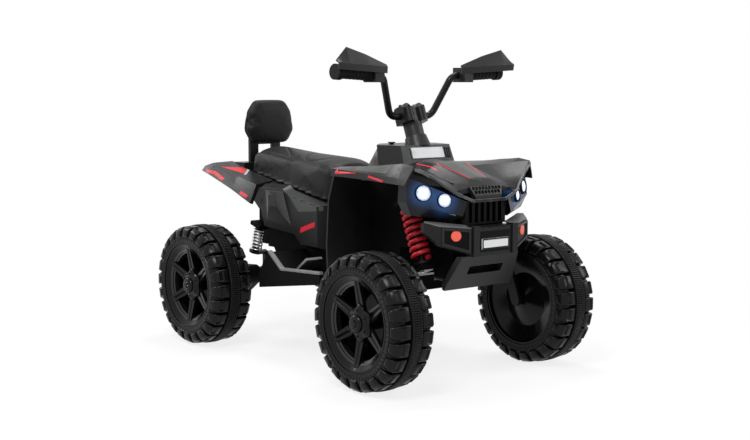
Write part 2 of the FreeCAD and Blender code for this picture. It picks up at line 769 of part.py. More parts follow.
def chassis_tub():
    """The moulded tub with its bearing, shock towers, spring brackets and pivot lugs."""
    outer_side = tub_underside(0) + [(NOSE_Y, COWL_Z), (COWL_Y, COWL_Z), (COWL_Y, RIM_Z), (TAIL_Y, RIM_Z)]
    inner_side = tub_underside(WALL) + [
        (NOSE_Y + WALL, COWL_Z + OVERRUN), (COWL_Y - WALL, COWL_Z + OVERRUN), (COWL_Y - WALL, RIM_Z - WALL),
        (COWL_Y, RIM_Z - WALL), (COWL_Y, RIM_Z + OVERRUN), (TAIL_Y - WALL, RIM_Z + OVERRUN),
    ]
    top = COWL_Z + 2 * OVERRUN
    outer = prism_x(outer_side, -TUB_HALF, TUB_HALF).common(prism_z(symmetric(tub_plan(0)), 0, top))
    inner = prism_x(inner_side, -TUB_HALF, TUB_HALF).common(prism_z(symmetric(tub_plan(WALL)), 0, top))
    bearing_foot = ARCH_RISE / cos(radians(RAKE_DEG))
    bearing = leaning(rod_z(0, 0, bearing_foot, bearing_foot + BEARING_LENGTH, BEARING_RADIUS))
    lugs = []
    for side in (-1, 1):
        x0 = side * PIVOT_LUG_X - PIVOT_LUG_WIDTH / 2
        x1 = side * PIVOT_LUG_X + PIVOT_LUG_WIDTH / 2
        lugs.append(rod_x(x0, x1, PIVOT_Y, PIVOT_Z, PIVOT_LUG_RADIUS))
        web = block(x0, x1, PIVOT_Y - PIVOT_LUG_RADIUS, PIVOT_Y + PIVOT_LUG_RADIUS, PIVOT_Z, TAIL_FLOOR_Z)
        lugs.append(web.cut(inner))
    seat_bracket = rear_bracket()
    tower = shock_tower()
    ledges = [seat_bracket, mirrored(seat_bracket), tower, mirrored(tower)]
    tub = fused([outer.cut(inner), bearing] + ledges + lugs)
    bore = leaning(rod_z(0, 0, 0, COLUMN_TOP, COLUMN_RADIUS + RUNNING_GAP))
    trunnions = rod_x(-TUB_HALF, TUB_HALF, PIVOT_Y, PIVOT_Z, TRUNNION_RADIUS + RUNNING_GAP)
    return tub.cut(bore).cut(trunnions)


def shock_tower():
    """The ledge on the cowl's right side that the front shock hangs from."""
    foot = SHOCK_SPRING_FOOT + front_spring_height() + SHOCK_SEAT_THICKNESS
    ledge = block(-SHOCK_X - SHOCK_SEAT_RADIUS, -COWL_HALF + WALL, -SHOCK_LEAD - TOWER_WIDTH / 2,
                  -SHOCK_LEAD + TOWER_WIDTH / 2, foot, foot + TOWER_THICKNESS)
    return leaning(ledge)


def rear_bracket():
    """The ledge on the tub's right side that the rear spring pushes against."""
    height = rear_spring_height()
    ledge = block(-REAR_SEAT_RADIUS, REAR_SPRING_X - TAIL_HALF + WALL, -REAR_BRACKET_WIDTH / 2,
                  REAR_BRACKET_WIDTH / 2, height, height + 2 * REAR_SEAT_THICKNESS)
    peg = rod_z(0, 0, height - REAR_PEG_LENGTH, height, REAR_PEG_RADIUS)
    return aimed(fused([ledge, peg]), rear_spring_direction(), rear_spring_foot())


def footboard_outline():
    """Side outline of a footboard."""
    y0 = COWL_Y - FOOTBOARD_START
    z0 = FLOOR_Z - FOOTBOARD_DROP
    return [(y0 + FOOTBOARD_LENGTH * along, z0 + FOOTBOARD_HEIGHT * up) for along, up in FOOTBOARD_SHARES]


def tray_floor():
    """Height of the floor that the foot stands on."""
    return FLOOR_Z - FOOTBOARD_DROP + FOOTBOARD_HEIGHT * TRAY_FLOOR_SHARE


def footboard():
    """The right footboard: a ribbed tray with a kicked-up heel, hollow from below."""
    inner = -TUB_HALF - FIT_GAP
    outer = inner - FOOTBOARD_WIDTH
    outline = footboard_outline()
    front, rear = outline[0][0], outline[1][0]
    floor = tray_floor()
    tray_end = front + FOOTBOARD_LENGTH * TRAY_END_SHARE
    board = prism_x(outline, outer, inner)
    tray = block(outer + TRIM_WIDTH + FIT_GAP, inner + OVERRUN, front + WALL, tray_end,
                 floor, floor + FOOTBOARD_HEIGHT)
    heel = outline[3]
    cavity = [
        (front + WALL, outline[1][1] - OVERRUN), (rear - WALL, outline[1][1] - OVERRUN),
        (rear - WALL, outline[2][1]), (heel[0], heel[1] - 2 * WALL), (tray_end + WALL, floor - WALL),
        (front + WALL, floor - WALL),
    ]
    board = board.cut(tray).cut(prism_x(cavity, outer + WALL, inner - WALL))
    ribs = []
    for place in range(TREAD_RIB_COUNT):
        y = front + (tray_end - front) * (place + 1) / (TREAD_RIB_COUNT + 1)
        ribs.append(block(outer + TRIM_WIDTH, inner - WALL, y - TREAD_RIB_WIDTH / 2, y + TREAD_RIB_WIDTH / 2,
                          floor - WALL / 2, floor + TREAD_RIB_HEIGHT))
    return board, ribs


def pedal_place():
    """The pedal hinge: middle along X, then Y and Z of its pin."""
    y = COWL_Y - FOOTBOARD_START + FOOTBOARD_LENGTH * PEDAL_PLACE_SHARE
    return -TUB_HALF - FIT_GAP - FOOTBOARD_WIDTH / 2, y, tray_floor() + PEDAL_LUG_RADIUS


def right_footboard():
    """The right tray, cleared of ribs below the pedal, with the pedal's two lugs."""
    board, ribs = footboard()
    x, y, z = pedal_place()
    half = PEDAL_WIDTH / 2 + PEDAL_LUG_WIDTH
    well = block(x - half - FIT_GAP, x + half + FIT_GAP, y - PEDAL_LENGTH, y + PEDAL_LUG_RADIUS + FIT_GAP,
                 tray_floor(), tray_floor() + FOOTBOARD_HEIGHT)
    lugs = []
    for side in (-1, 1):
        x0 = x + side * (PEDAL_WIDTH / 2 + FIT_GAP)
        x1 = x0 + side * PEDAL_LUG_WIDTH
        lug = rod_x(min(x0, x1), max(x0, x1), y, z, PEDAL_LUG_RADIUS)
        foot = block(min(x0, x1), max(x0, x1), y - PEDAL_LUG_RADIUS, y + PEDAL_LUG_RADIUS,
                     tray_floor() - WALL / 2, z)
        lugs += [lug, foot]
    board = fused([board] + [rib.cut(well) for rib in ribs] + lugs)
    return board.cut(rod_x(x - half, x + half, y, z, PEDAL_PIN_RADIUS + RUNNING_GAP))


def accelerator_pedal():
    """The ribbed pedal plate with its hinge pin."""
    x, y, z = pedal_place()
    half = PEDAL_WIDTH / 2
    plate = block(-half, half, -PEDAL_LENGTH, 0, -PEDAL_THICKNESS / 2, PEDAL_THICKNESS / 2)
    knuckle = rod_x(-half, half, 0, 0, PEDAL_KNUCKLE_RADIUS)
    pin = rod_x(-half - PEDAL_LUG_WIDTH, half + PEDAL_LUG_WIDTH, 0, 0, PEDAL_PIN_RADIUS)
    ribs = []
    for place in range(PEDAL_RIB_COUNT):
        along = -PEDAL_LENGTH * (place + 1) / (PEDAL_RIB_COUNT + 1)
        ribs.append(block(-half + WALL, half - WALL, along - PEDAL_RIB_WIDTH / 2, along + PEDAL_RIB_WIDTH / 2,
                          0, PEDAL_THICKNESS / 2 + PEDAL_RIB_HEIGHT))
    pedal = fused([plate, knuckle, pin] + ribs)
    pedal.rotate(ORIGIN, AXIS_X, -PEDAL_PITCH_DEG)
    pedal.translate(Vector(x, y, z))
    return pedal


def footrest_trim():
    """The bright strip along the right footboard's outer edge."""
    outline = footboard_outline()
    line = [outline[3], outline[4], outline[5]]
    outer = -TUB_HALF - FIT_GAP - FOOTBOARD_WIDTH
    sheet = band(offset_line(line, SNUG_GAP), TRIM_THICKNESS)
    return prism_x(sheet, outer, outer + TRIM_WIDTH)


# Front body
def hood_section(share_row, inset):
    """One closed section of the hood."""
    along, under, side, edge, ridge = share_row
    y = HOOD_REAR_Y - HOOD_LENGTH * along
    half = COWL_HALF - inset
    panel = HOOD_PANEL_HALF - inset
    drop = OVERRUN if inset else 0
    heights = [COWL_Z + HOOD_HEIGHT * share - inset for share in (side, edge, ridge)]
    foot = COWL_Z + HOOD_HEIGHT * under - drop
    line = symmetric([(-half, foot), (-half, heights[0]), (-panel, heights[1])])
    line.insert(3, (0, heights[2]))
    return [Vector(x, y, z) for x, z in line]


def hood():
    """The hood: a raised middle panel between two falling shoulders, hollow below."""
    outer = loft([hood_section(row, 0) for row in HOOD_STATION_SHARES])
    inner = loft([hood_section(row, SKIN) for row in HOOD_STATION_SHARES])
    front_wall = block(-COWL_HALF, COWL_HALF, HOOD_FRONT_Y, HOOD_FRONT_Y + SKIN, 0, DASH_TOP_Z)
    return outer.cut(inner.cut(front_wall))


def dash_outline(shares, z, inset):
    """Six-sided outline of the dash at one height."""
    half = []
    for across, along in shares:
        half.append((-COWL_HALF * across + inset, DASH_FRONT_Y + DASH_LENGTH * (1 - along)))
    half[0] = (half[0][0], half[0][1] + inset)
    half[-1] = (half[-1][0], half[-1][1] - inset)
    return [Vector(x, y, z) for x, y in symmetric(half)]


def dash_console():
    """The faceted dash over the cowl, with seats for its button and switch."""
    upper = loft([dash_outline(DASH_FOOT_SHARES, DASH_SEAT_Z, 0),
                  dash_outline(DASH_TOP_SHARES, DASH_TOP_Z, 0)])
    hollow = loft([dash_outline(DASH_FOOT_SHARES, DASH_SEAT_Z - OVERRUN, SKIN),
                   dash_outline(DASH_TOP_SHARES, DASH_TOP_Z - SKIN, SKIN)])
    collar = block(-COWL_HALF, COWL_HALF, DASH_FRONT_Y, COWL_Y - SHOULDER, COWL_Z, DASH_SEAT_Z)
    throat = block(-COWL_HALF + SKIN, COWL_HALF - SKIN, DASH_FRONT_Y + SKIN, COWL_Y - SHOULDER - SKIN,
                   COWL_Z - OVERRUN, DASH_SEAT_Z + OVERRUN)
    shell = fused([upper.cut(hollow), collar.cut(throat)])
    shell = shell.cut(throat)
    shell = shell.cut(leaning(rod_z(0, 0, 0, COLUMN_TOP, BOOT_TOP_RADIUS)))
    button = button_place()
    boss_foot = DASH_TOP_Z - BUTTON_STEM_LENGTH - BUTTON_TRAVEL
    boss = rod_z(button.x, button.y, boss_foot, DASH_TOP_Z, BUTTON_RADIUS)
    switch = switch_place()
    half = SWITCH_LENGTH / 2 + SWITCH_BOSS_WALL
    cheek = SWITCH_WIDTH / 2 + SWITCH_BOSS_WALL
    well_depth = SWITCH_LENGTH / 2
    seat = block(switch.x - half, switch.x + half, switch.y - cheek, switch.y + cheek,
                 DASH_TOP_Z - well_depth - SKIN, DASH_TOP_Z)
    shell = fused([shell, boss, seat])
    stem_radius = BUTTON_STEM_RADIUS + RUNNING_GAP
    shell = shell.cut(rod_z(button.x, button.y, COWL_Z, DASH_TOP_Z + OVERRUN, stem_radius))
    well = block(switch.x - SWITCH_LENGTH / 2 - FIT_GAP, switch.x + SWITCH_LENGTH / 2 + FIT_GAP,
                 switch.y - SWITCH_WIDTH / 2 - FIT_GAP, switch.y + SWITCH_WIDTH / 2 + FIT_GAP,
                 DASH_TOP_Z - well_depth, DASH_TOP_Z + OVERRUN)
    pin = rod(Vector(switch.x, switch.y - cheek, switch.z), Vector(switch.x, switch.y + cheek, switch.z),
              SWITCH_PIN_RADIUS + RUNNING_GAP)
    return shell.cut(well).cut(pin)


def button_place():
    """Top centre of the power button's hole."""
    return Vector(-SWITCH_X, COWL_Y - DASH_LENGTH * DASH_TOP_SHARES[1][1], DASH_TOP_Z)


def switch_place():
    """Pin of the direction switch."""
    return Vector(SWITCH_X, COWL_Y - DASH_LENGTH * DASH_TOP_SHARES[1][1], DASH_TOP_Z - SWITCH_BOSS_WALL)


def power_button():
    """The round push button on its stem."""
    place = button_place()
    foot = place.z + BUTTON_TRAVEL + FIT_GAP
    stem = rod_z(place.x, place.y, place.z - BUTTON_STEM_LENGTH, foot + BUTTON_PROUD / 2, BUTTON_STEM_RADIUS)
    cap = rod_z(place.x, place.y, foot, foot + BUTTON_PROUD, BUTTON_RADIUS)
    return fused([stem, cap])


def direction_switch():
    """The forward and reverse rocker on its pin."""
    place = switch_place()
    half = SWITCH_LENGTH / 2
    rise = DASH_TOP_Z - place.z + SWITCH_RISE
    foot_half = half - SWITCH_BOSS_WALL
    outline = [(-half, rise), (-foot_half, -SWITCH_BOSS_WALL), (foot_half, -SWITCH_BOSS_WALL),
               (half, rise), (0, rise - SWITCH_BOSS_WALL / 2)]
    rocker = prism_y(outline, -SWITCH_WIDTH / 2, SWITCH_WIDTH / 2)
    reach = SWITCH_WIDTH / 2 + SWITCH_BOSS_WALL
    pin = rod(Vector(0, -reach, 0), Vector(0, reach, 0), SWITCH_PIN_RADIUS)
    rocker = fused([rocker, pin])
    rocker.translate(place)
    return rocker


def dash_panel():
    """The bright instrument panel on the dash's sloping front."""
    foot_y = DASH_FRONT_Y + DASH_LENGTH * (1 - DASH_FOOT_SHARES[0][1])
    top_y = DASH_FRONT_Y + DASH_LENGTH * (1 - DASH_TOP_SHARES[0][1])
    slope = Vector(0, top_y - foot_y, DASH_TOP_Z - DASH_SEAT_Z)
    outward = Vector(0, -slope.z, slope.y).normalize()
    corner = Vector(-PANEL_WIDTH / 2, foot_y, DASH_SEAT_Z)
    start = corner + slope * PANEL_SPAN_SHARES[0]
    end = corner + slope * PANEL_SPAN_SHARES[1]
    across = Vector(PANEL_WIDTH, 0, 0)
    lift = outward * SNUG_GAP
    face = Part.Face(closed([start + lift, end + lift, end + across + lift, start + across + lift]))
    return face.extrude(outward * PANEL_THICKNESS)


def steering_boot():
    """The cone on the dash that closes round the turning column."""
    top = COLUMN_TOP - SLEEVE_LENGTH - FIT_GAP
    base = Vector(0, 0, top - BOOT_DEPTH)
    cone = Part.makeCone(BOOT_BASE_RADIUS, BOOT_TOP_RADIUS, BOOT_DEPTH, base, AXIS_Z)
    boot = leaning(cone)
    reach = 2 * BOOT_BASE_RADIUS + BOOT_DEPTH
    below = block(-reach, reach, FRONT_AXLE_Y, COWL_Y, 0, DASH_TOP_Z + SNUG_GAP)
    return boot.cut(below).cut(leaning(rod_z(0, 0, 0, COLUMN_TOP, COLUMN_RADIUS + RUNNING_GAP)))


def fender_line(share_row):
    """The top line of the front fender's section, from its inner edge to its lip."""
    along, inner, ridge_place, ridge, edge_place, edge, lip = share_row
    x0 = -COWL_HALF - FIT_GAP
    strip = x0 - FENDER_WIDTH * FENDER_STRIP_SHARE
    seat = DASH_SEAT_Z - FIT_GAP
    inner_z = seat if inner is None else COWL_Z + FENDER_RISE * inner
    return [
        (x0, inner_z), (strip, inner_z),
        (x0 - FENDER_WIDTH * ridge_place, COWL_Z + FENDER_RISE * ridge),
        (x0 - FENDER_WIDTH * edge_place, COWL_Z + FENDER_RISE * edge),
        (x0 - FENDER_WIDTH, COWL_Z + FENDER_RISE * lip),
    ]


def front_fender():
    """The right front fender: a ridged top with a turned-down lip and a rear flap."""
    y0 = COWL_Y - FENDER_START
    sections = []
    for row in FENDER_STATION_SHARES:
        y = y0 - FENDER_LENGTH * row[0]
        sections.append([Vector(x, y, z) for x, z in band(fender_line(row), -SKIN)])
    top = loft(sections)
    inner = -COWL_HALF - FIT_GAP
    reach = FENDER_WIDTH + OVERRUN
    front = FRONT_AXLE_Y - BROW_REACH
    beyond = front - FENDER_LENGTH
    brow = [(inner + OVERRUN, front - OVERRUN * BROW_SWEEP_SHARE),
            (inner - reach, front + reach * BROW_SWEEP_SHARE),
            (inner - reach, beyond), (inner + OVERRUN, beyond)]
    top = top.cut(prism_z(brow, FLOOR_Z, DASH_TOP_Z))
    flap_outer = inner - FENDER_WIDTH * FENDER_STATION_SHARES[0][4]
    flap_foot = footboard_outline()[-1][1] + FIT_GAP
    height = fender_line(FENDER_STATION_SHARES[0])[3][1] - flap_foot
    flap_rear = COWL_Y + FLAP_THICKNESS
    line = [(flap_rear - FLAP_DEPTH * back, flap_foot + height * up) for back, up in FLAP_SHARES]
    flap = prism_x(band(line, -FLAP_THICKNESS), flap_outer, -TUB_HALF - FIT_GAP)
    return fused([top, flap])


def grille_top():
    """Height of the grille's upper edge, at the hood's front."""
    return COWL_Z + HOOD_HEIGHT * HOOD_STATION_SHARES[-1][3]


def nose_grille():
    """The nose piece: a mesh of hexagons above a thick lip."""
    y0 = HOOD_FRONT_Y - FIT_GAP
    top = grille_top()
    line = [(y0 - GRILLE_LIP * out, top - GRILLE_HEIGHT * down) for down, out in GRILLE_PROUD_SHARES]
    outline = [(y0, top)] + line + [(y0, top - GRILLE_HEIGHT)]
    piece = prism_x(outline, -GRILLE_TOP_HALF, GRILLE_TOP_HALF)
    mask = prism_y(symmetric([(-GRILLE_TOP_HALF, top), (-GRILLE_FOOT_HALF, top - GRILLE_HEIGHT)]),
                   y0 - 2 * GRILLE_LIP, y0 + OVERRUN)
    piece = piece.common(mask)
    face_height = GRILLE_HEIGHT * GRILLE_PROUD_SHARES[1][0]
    holes = []
    for row in range(2):
        for column in range(HEX_COLUMNS - row):
            x = (column - (HEX_COLUMNS - 1 - row) / 2) * HEX_PITCH
            z = top - face_height / 2 - HEX_PITCH * (row - 0.5) * sin(pi / 3)
            corners = [(x + HEX_RADIUS * sin(pi * k / 3), z + HEX_RADIUS * cos(pi * k / 3)) for k in range(6)]
            slope = (GRILLE_PROUD_SHARES[1][1] - GRILLE_PROUD_SHARES[0][1]) * GRILLE_LIP / face_height
            floor = y0 - GRILLE_LIP * GRILLE_PROUD_SHARES[0][1] - (top - z) * slope + HEX_DEPTH
            holes.append(prism_y(corners, floor - 2 * GRILLE_LIP, min(floor, y0 - SKIN / 2)))
    return piece.cut(Part.makeCompound(holes))


def front_fascia():
    """The upright panel under the nose with its row of slats."""
    top = grille_top() - GRILLE_HEIGHT - FIT_GAP
    foot = top - FASCIA_HEIGHT
    front = NOSE_Y - FASCIA_DEPTH
    panel = block(-FASCIA_HALF, FASCIA_HALF, front, NOSE_Y - SNUG_GAP, foot, top)
    pitch = 2 * FASCIA_HALF / (SLAT_COUNT + 1)
    gaps = []
    for place in range(SLAT_COUNT):
        x = -FASCIA_HALF + pitch * (place + 1)
        half = pitch * SLAT_GAP_SHARE / 2
        gaps.append(block(x - half, x + half, front - OVERRUN, front + SLAT_DEPTH, foot + WALL, top - WALL))
    return panel.cut(Part.makeCompound(gaps))


def lamp_point(across, up, backset):
    """A point on the right headlight panel, by its shares of width and height."""
    x = -FASCIA_HALF - FIT_GAP - LAMP_PANEL_WIDTH * across
    z = lamp_foot() + LAMP_PANEL_HEIGHT * up
    out = NOSE_Y - LAMP_PANEL_REACH
    sweep = LAMP_PANEL_WIDTH * across * BROW_SWEEP_SHARE
    lean = LAMP_PANEL_HEIGHT * (up - 0.5) * LAMP_PANEL_LEAN_SHARE
    return Vector(x, out + sweep + lean + backset, z)


def lamp_foot():
    """Lowest height of the headlight panel."""
    return grille_top() - GRILLE_HEIGHT - LAMP_PANEL_HEIGHT * LAMP_PANEL_SHARES[1][1]


def lamp_direction():
    """The way that the right headlight panel faces."""
    return Vector(-BROW_SWEEP_SHARE, -1, LAMP_PANEL_LEAN_SHARE).normalize()


def lamp_places():
    """Radius and panel point of each right lamp."""
    return [
        (BIG_LAMP_RADIUS, lamp_point(*BIG_LAMP_SHARES, 0)),
        (SMALL_LAMP_RADIUS, lamp_point(*SMALL_LAMP_SHARES, 0)),
    ]


def headlight_housing():
    """The right headlight housing: a swept panel with two round pockets and a cheek below."""
    face = [lamp_point(across, up, 0) for across, up in LAMP_PANEL_SHARES]
    back = [Vector(point.x, NOSE_Y + LAMP_PANEL_DEPTH - LAMP_PANEL_REACH, point.z) for point in face]
    body = loft([face, back])
    cheek_edge = []
    for across, up in CHEEK_SHARES:
        point = lamp_point(across, up, CHEEK_BACKSET)
        cheek_edge.append(point - Vector(0, 0, CHEEK_DROP))
    rear_y = back[0].y
    cheek = []
    for inner, outer in ((face[2], face[3]), cheek_edge):
        cheek.append([inner, outer, Vector(outer.x, rear_y, outer.z), Vector(inner.x, rear_y, inner.z)])
    housing = fused([body, loft(cheek)])
    keep_out = block(-COWL_HALF - FIT_GAP, COWL_HALF, HOOD_FRONT_Y - FIT_GAP, COWL_Y, 0, DASH_TOP_Z)
    housing = housing.cut(keep_out)
    for radius, place in lamp_places():
        depth = LAMP_POCKET + 2 * OVERRUN
        pocket = Part.makeCylinder(radius + FIT_GAP, depth, Vector(0, 0, -LAMP_POCKET), AXIS_Z)
        housing = housing.cut(aimed(pocket, lamp_direction(), place))
    return housing


def headlamp_lenses():
    """The four round lamp lenses with domed faces."""
    lenses = []
    for radius, place in lamp_places():
        crown = radius * LENS_CROWN_SHARE
        dome_radius = (radius ** 2 + crown ** 2) / (2 * crown)
        foot = SNUG_GAP - LAMP_POCKET
        drum = Part.makeCylinder(radius, LAMP_POCKET + crown, Vector(0, 0, foot), AXIS_Z)
        dome = Part.makeSphere(dome_radius, Vector(0, 0, foot + LAMP_POCKET + crown - dome_radius))
        lens = aimed(drum.common(dome), lamp_direction(), place)
        lenses += [lens, mirrored(lens)]
    return Part.makeCompound(lenses)


def bumper_front():
    """Front face of the bumper's middle."""
    return NOSE_Y - BUMPER_REACH


def bumper_foot():
    """Underside of the bumper's middle."""
    return AXLE_Z + BUMPER_RISE


def wing_section(x, front, depth, shares):
    """One upright section of the right bumper wing."""
    low = bumper_foot() + BUMPER_HEIGHT * shares[0]
    high = bumper_foot() + BUMPER_HEIGHT * shares[1]
    rear = front + depth
    return [Vector(x, front, low), Vector(x, front, high), Vector(x, rear, high), Vector(x, rear, low)]


def wing_front(x):
    """Front face of the right wing between its root and its bend."""
    return bumper_front() + WING_BEND_SWEEP * (abs(x) - BUMPER_HALF) / (WING_BEND - BUMPER_HALF)


def front_bumper():
    """The bumper: a ribbed middle between two posts, and two swept wings."""
    front = bumper_front()
    foot = bumper_foot()
    top = foot + BUMPER_HEIGHT
    middle = block(-BUMPER_HALF, BUMPER_HALF, front, NOSE_Y - SNUG_GAP, foot, top)
    hollow_half = BUMPER_HALF - WALL
    hollow = block(-hollow_half, hollow_half, front + WALL, NOSE_Y + OVERRUN, foot + WALL, top - WALL)
    pieces = [middle.cut(hollow)]
    wing = loft([wing_section(-BUMPER_HALF, front, WING_DEPTH, WING_ROOT_SHARES),
                 wing_section(-WING_BEND, front + WING_BEND_SWEEP, WING_DEPTH, WING_BEND_SHARES),
                 wing_section(-WING_SPAN, front + WING_SWEEP, WING_TIP_DEPTH, WING_TIP_SHARES)])
    for side in (-1, 1):
        x = side * BUMPER_HALF
        post = block(x - POST_WIDTH / 2, x + POST_WIDTH / 2, front - POST_OVERHANG, front + POST_DEPTH,
                     foot, top + POST_OVERHANG)
        pieces.append(post)
        pieces.append(wing if side < 0 else mirrored(wing))
    bumper = fused(pieces)
    pitch = 2 * (BUMPER_HALF - POST_WIDTH) / (RIB_COUNT + 1)
    grooves = []
    for place in range(RIB_COUNT):
        x = -BUMPER_HALF + POST_WIDTH + pitch * (place + 1)
        grooves.append(block(x - RIB_WIDTH / 2, x + RIB_WIDTH / 2, front - OVERRUN, NOSE_Y - BUMPER_REACH / 2,
                             top - RIB_DEPTH, top + OVERRUN))
    bumper = bumper.cut(Part.makeCompound(grooves))
    for reflector in bumper_reflectors().Solids:
        bumper = bumper.cut(reflector)
    return bumper


def bumper_reflectors():
    """The two round reflectors let into the bumper's wings."""
    span = BUMPER_HALF + (WING_BEND - BUMPER_HALF) * REFLECTOR_SPAN_SHARE
    height = bumper_foot() + BUMPER_HEIGHT * REFLECTOR_RISE_SHARE
    sweep = WING_BEND_SWEEP / (WING_BEND - BUMPER_HALF)
    outward = Vector(-sweep, -1, 0).normalize()
    back = Vector(0, 0, -REFLECTOR_THICKNESS / 2)
    disc = Part.makeCylinder(REFLECTOR_RADIUS, REFLECTOR_THICKNESS, back, AXIS_Z)
    return pair(aimed(disc, outward, Vector(-span, wing_front(span), height)))


def number_plate():
    """The blank plate between the bumper's posts."""
    front = bumper_front() - SNUG_GAP
    foot = bumper_foot() + PLATE_LIFT
    return block(-PLATE_WIDTH / 2, PLATE_WIDTH / 2, front - PLATE_THICKNESS, front, foot, foot + PLATE_HEIGHT)


def bull_bar():
    """The slotted skid bar from the bumper down and back under the nose."""
    top = bumper_foot() - SNUG_GAP
    foot = NOSE_FLOOR_Z - BULL_BAR_FOOT_DROP
    under = NOSE_FLOOR_Z - SNUG_GAP
    head_y = NOSE_Y - BULL_BAR_REACH
    foot_y = NOSE_Y - FIT_GAP
    tail_y = NOSE_Y + BULL_BAR_TAIL
    skid = under - BULL_BAR_PLATE
    line = [(head_y, top), (foot_y, foot), (foot_y + BULL_BAR_REACH, skid), (tail_y, skid)]
    raised = [(tail_y, under), (foot_y + BULL_BAR_REACH / 2, under),
              (foot_y + BULL_BAR_PLATE, foot + BULL_BAR_PLATE), (head_y + 2 * BULL_BAR_PLATE, top)]
    sheet = prism_x(line + raised, -BULL_BAR_FOOT_HALF, BULL_BAR_FOOT_HALF)
    plan = [(-BULL_BAR_TOP_HALF, head_y - OVERRUN), (-BULL_BAR_FOOT_HALF, foot_y - BULL_BAR_PLATE),
            (-BULL_BAR_FOOT_HALF, foot_y + BULL_BAR_PLATE), (-BULL_BAR_TAIL_HALF, foot_y + BULL_BAR_REACH),
            (-BULL_BAR_TAIL_HALF, tail_y + OVERRUN)]
    sheet = sheet.common(prism_z(symmetric(plan), 0, COWL_Z))
    slot_z = foot + (top - foot) * SLOT_LIFT_SHARE
    slot = block(-SLOT_HALF, SLOT_HALF, head_y - OVERRUN, foot_y + BULL_BAR_REACH,
                 slot_z - SLOT_HEIGHT / 2, slot_z + SLOT_HEIGHT / 2)
    return sheet.cut(slot)


# Rear body
def side_point(shares, x):
    """A point of the side panel by its shares of length and height."""
    y0 = HAUNCH_Y - SIDE_LENGTH
    z0 = RIM_Z + SEAT_PAN_FRONT_RISE - SIDE_HEIGHT * SIDE_OUTLINE_SHARES[0][1]
    return Vector(x, y0 + SIDE_LENGTH * shares[0], z0 + SIDE_HEIGHT * shares[1])


def side_panel():
    """The right side panel under the seat: a tapered plate with a raised faceted blister."""
    inner = -TUB_HALF - FIT_GAP
    outer = inner - SIDE_DEPTH
    base = [side_point(shares, inner) for shares in SIDE_OUTLINE_SHARES]
    middle = sum((point.y for point in base)) / len(base), sum((point.z for point in base)) / len(base)
    face = []
    for point in base:
        y = middle[0] + (point.y - middle[0]) * SIDE_TAPER_SHARE
        z = middle[1] + (point.z - middle[1]) * SIDE_TAPER_SHARE
        face.append(Vector(outer, y, z))
    plate = loft([base, face])
    foot = [side_point(shares, outer + WALL) for shares in BLISTER_SHARES]
    crest = [side_point(shares, outer - SIDE_BLISTER) for shares in BLISTER_CREST_SHARES]
    return fused([plate, loft([foot, crest])])


def seat_pan_height(y):
    """Height of the surface that the cushion lies on."""
    share = (y - SEAT_FRONT_Y) / SEAT_LENGTH
    return RIM_Z + SEAT_PAN_FRONT_RISE + (SEAT_PAN_REAR_RISE - SEAT_PAN_FRONT_RISE) * share


def pan_section(y, half, foot, top):
    """One upright section of the rear body."""
    return [Vector(-half, y, foot), Vector(-half, y, top), Vector(half, y, top), Vector(half, y, foot)]


def below_tail(lift):
    """What is cut away under the tail, from the tub's rear wall up to the deck."""
    foot = RIM_Z - 2 * OVERRUN
    edge = DECK_Y + lift
    deck_foot = RIM_Z + DECK_FOOT_RISE + lift
    outline = [(TAIL_Y - lift, foot), (TAIL_Y - lift, RIM_Z + lift), (DECK_Y, deck_foot),
               (edge + OVERRUN, deck_foot), (edge + OVERRUN, foot)]
    return prism_x(outline, -TUB_HALF, TUB_HALF)


def seat_base():
    """The rear body that carries the seat: a low tunnel, the seat pan and the tail deck."""
    wide = TUB_HALF - SEAT_PAN_SIDE
    narrow = TAIL_HALF
    back = SEAT_REAR_Y + FIT_GAP
    front = COWL_Y + FIT_GAP
    stations = [
        (front, wide, RIM_Z + TUNNEL_RISE),
        (SEAT_FRONT_Y, wide, seat_pan_height(SEAT_FRONT_Y)),
        (HAUNCH_Y, wide, seat_pan_height(HAUNCH_Y)),
        (HAUNCH_Y + SHOULDER, narrow, seat_pan_height(HAUNCH_Y + SHOULDER)),
        (back, narrow, seat_pan_height(back)),
    ]
    outer = loft([pan_section(y, half, RIM_Z, top) for y, half, top in stations])
    inner_ends = {front: front + SKIN, back: back - SKIN}
    inner = loft([pan_section(inner_ends.get(y, y), half - SKIN, RIM_Z - OVERRUN, top - SKIN)
                  for y, half, top in stations])
    deck_top = RIM_Z + DECK_RISE
    deck_foot = RIM_Z + DECK_FOOT_RISE
    deck_knee = deck_foot + DECK_FOOT_RISE / 2
    deck_end = back + DECK_LENGTH
    deck_outline = [(back, RIM_Z), (back, deck_top), (deck_end, deck_top),
                    (deck_end, deck_knee), (DECK_Y, deck_foot), (DECK_Y, RIM_Z)]
    deck = prism_x(deck_outline, -narrow, narrow)
    within = back - SKIN - OVERRUN
    deck_hollow = [(within, RIM_Z - OVERRUN), (within, seat_pan_height(within) - SKIN),
                   (back + SKIN, seat_pan_height(within) - SKIN), (back + SKIN, deck_top - SKIN),
                   (deck_end - SKIN, deck_top - SKIN), (deck_end - SKIN, deck_knee + SKIN),
                   (DECK_Y - SKIN, deck_foot + SKIN), (DECK_Y - SKIN, RIM_Z - OVERRUN)]
    shell = fused([outer, deck]).cut(below_tail(0))
    hollow = fused([inner, prism_x(deck_hollow, -narrow + SKIN, narrow - SKIN)])
    return shell.cut(hollow.cut(below_tail(SKIN)))


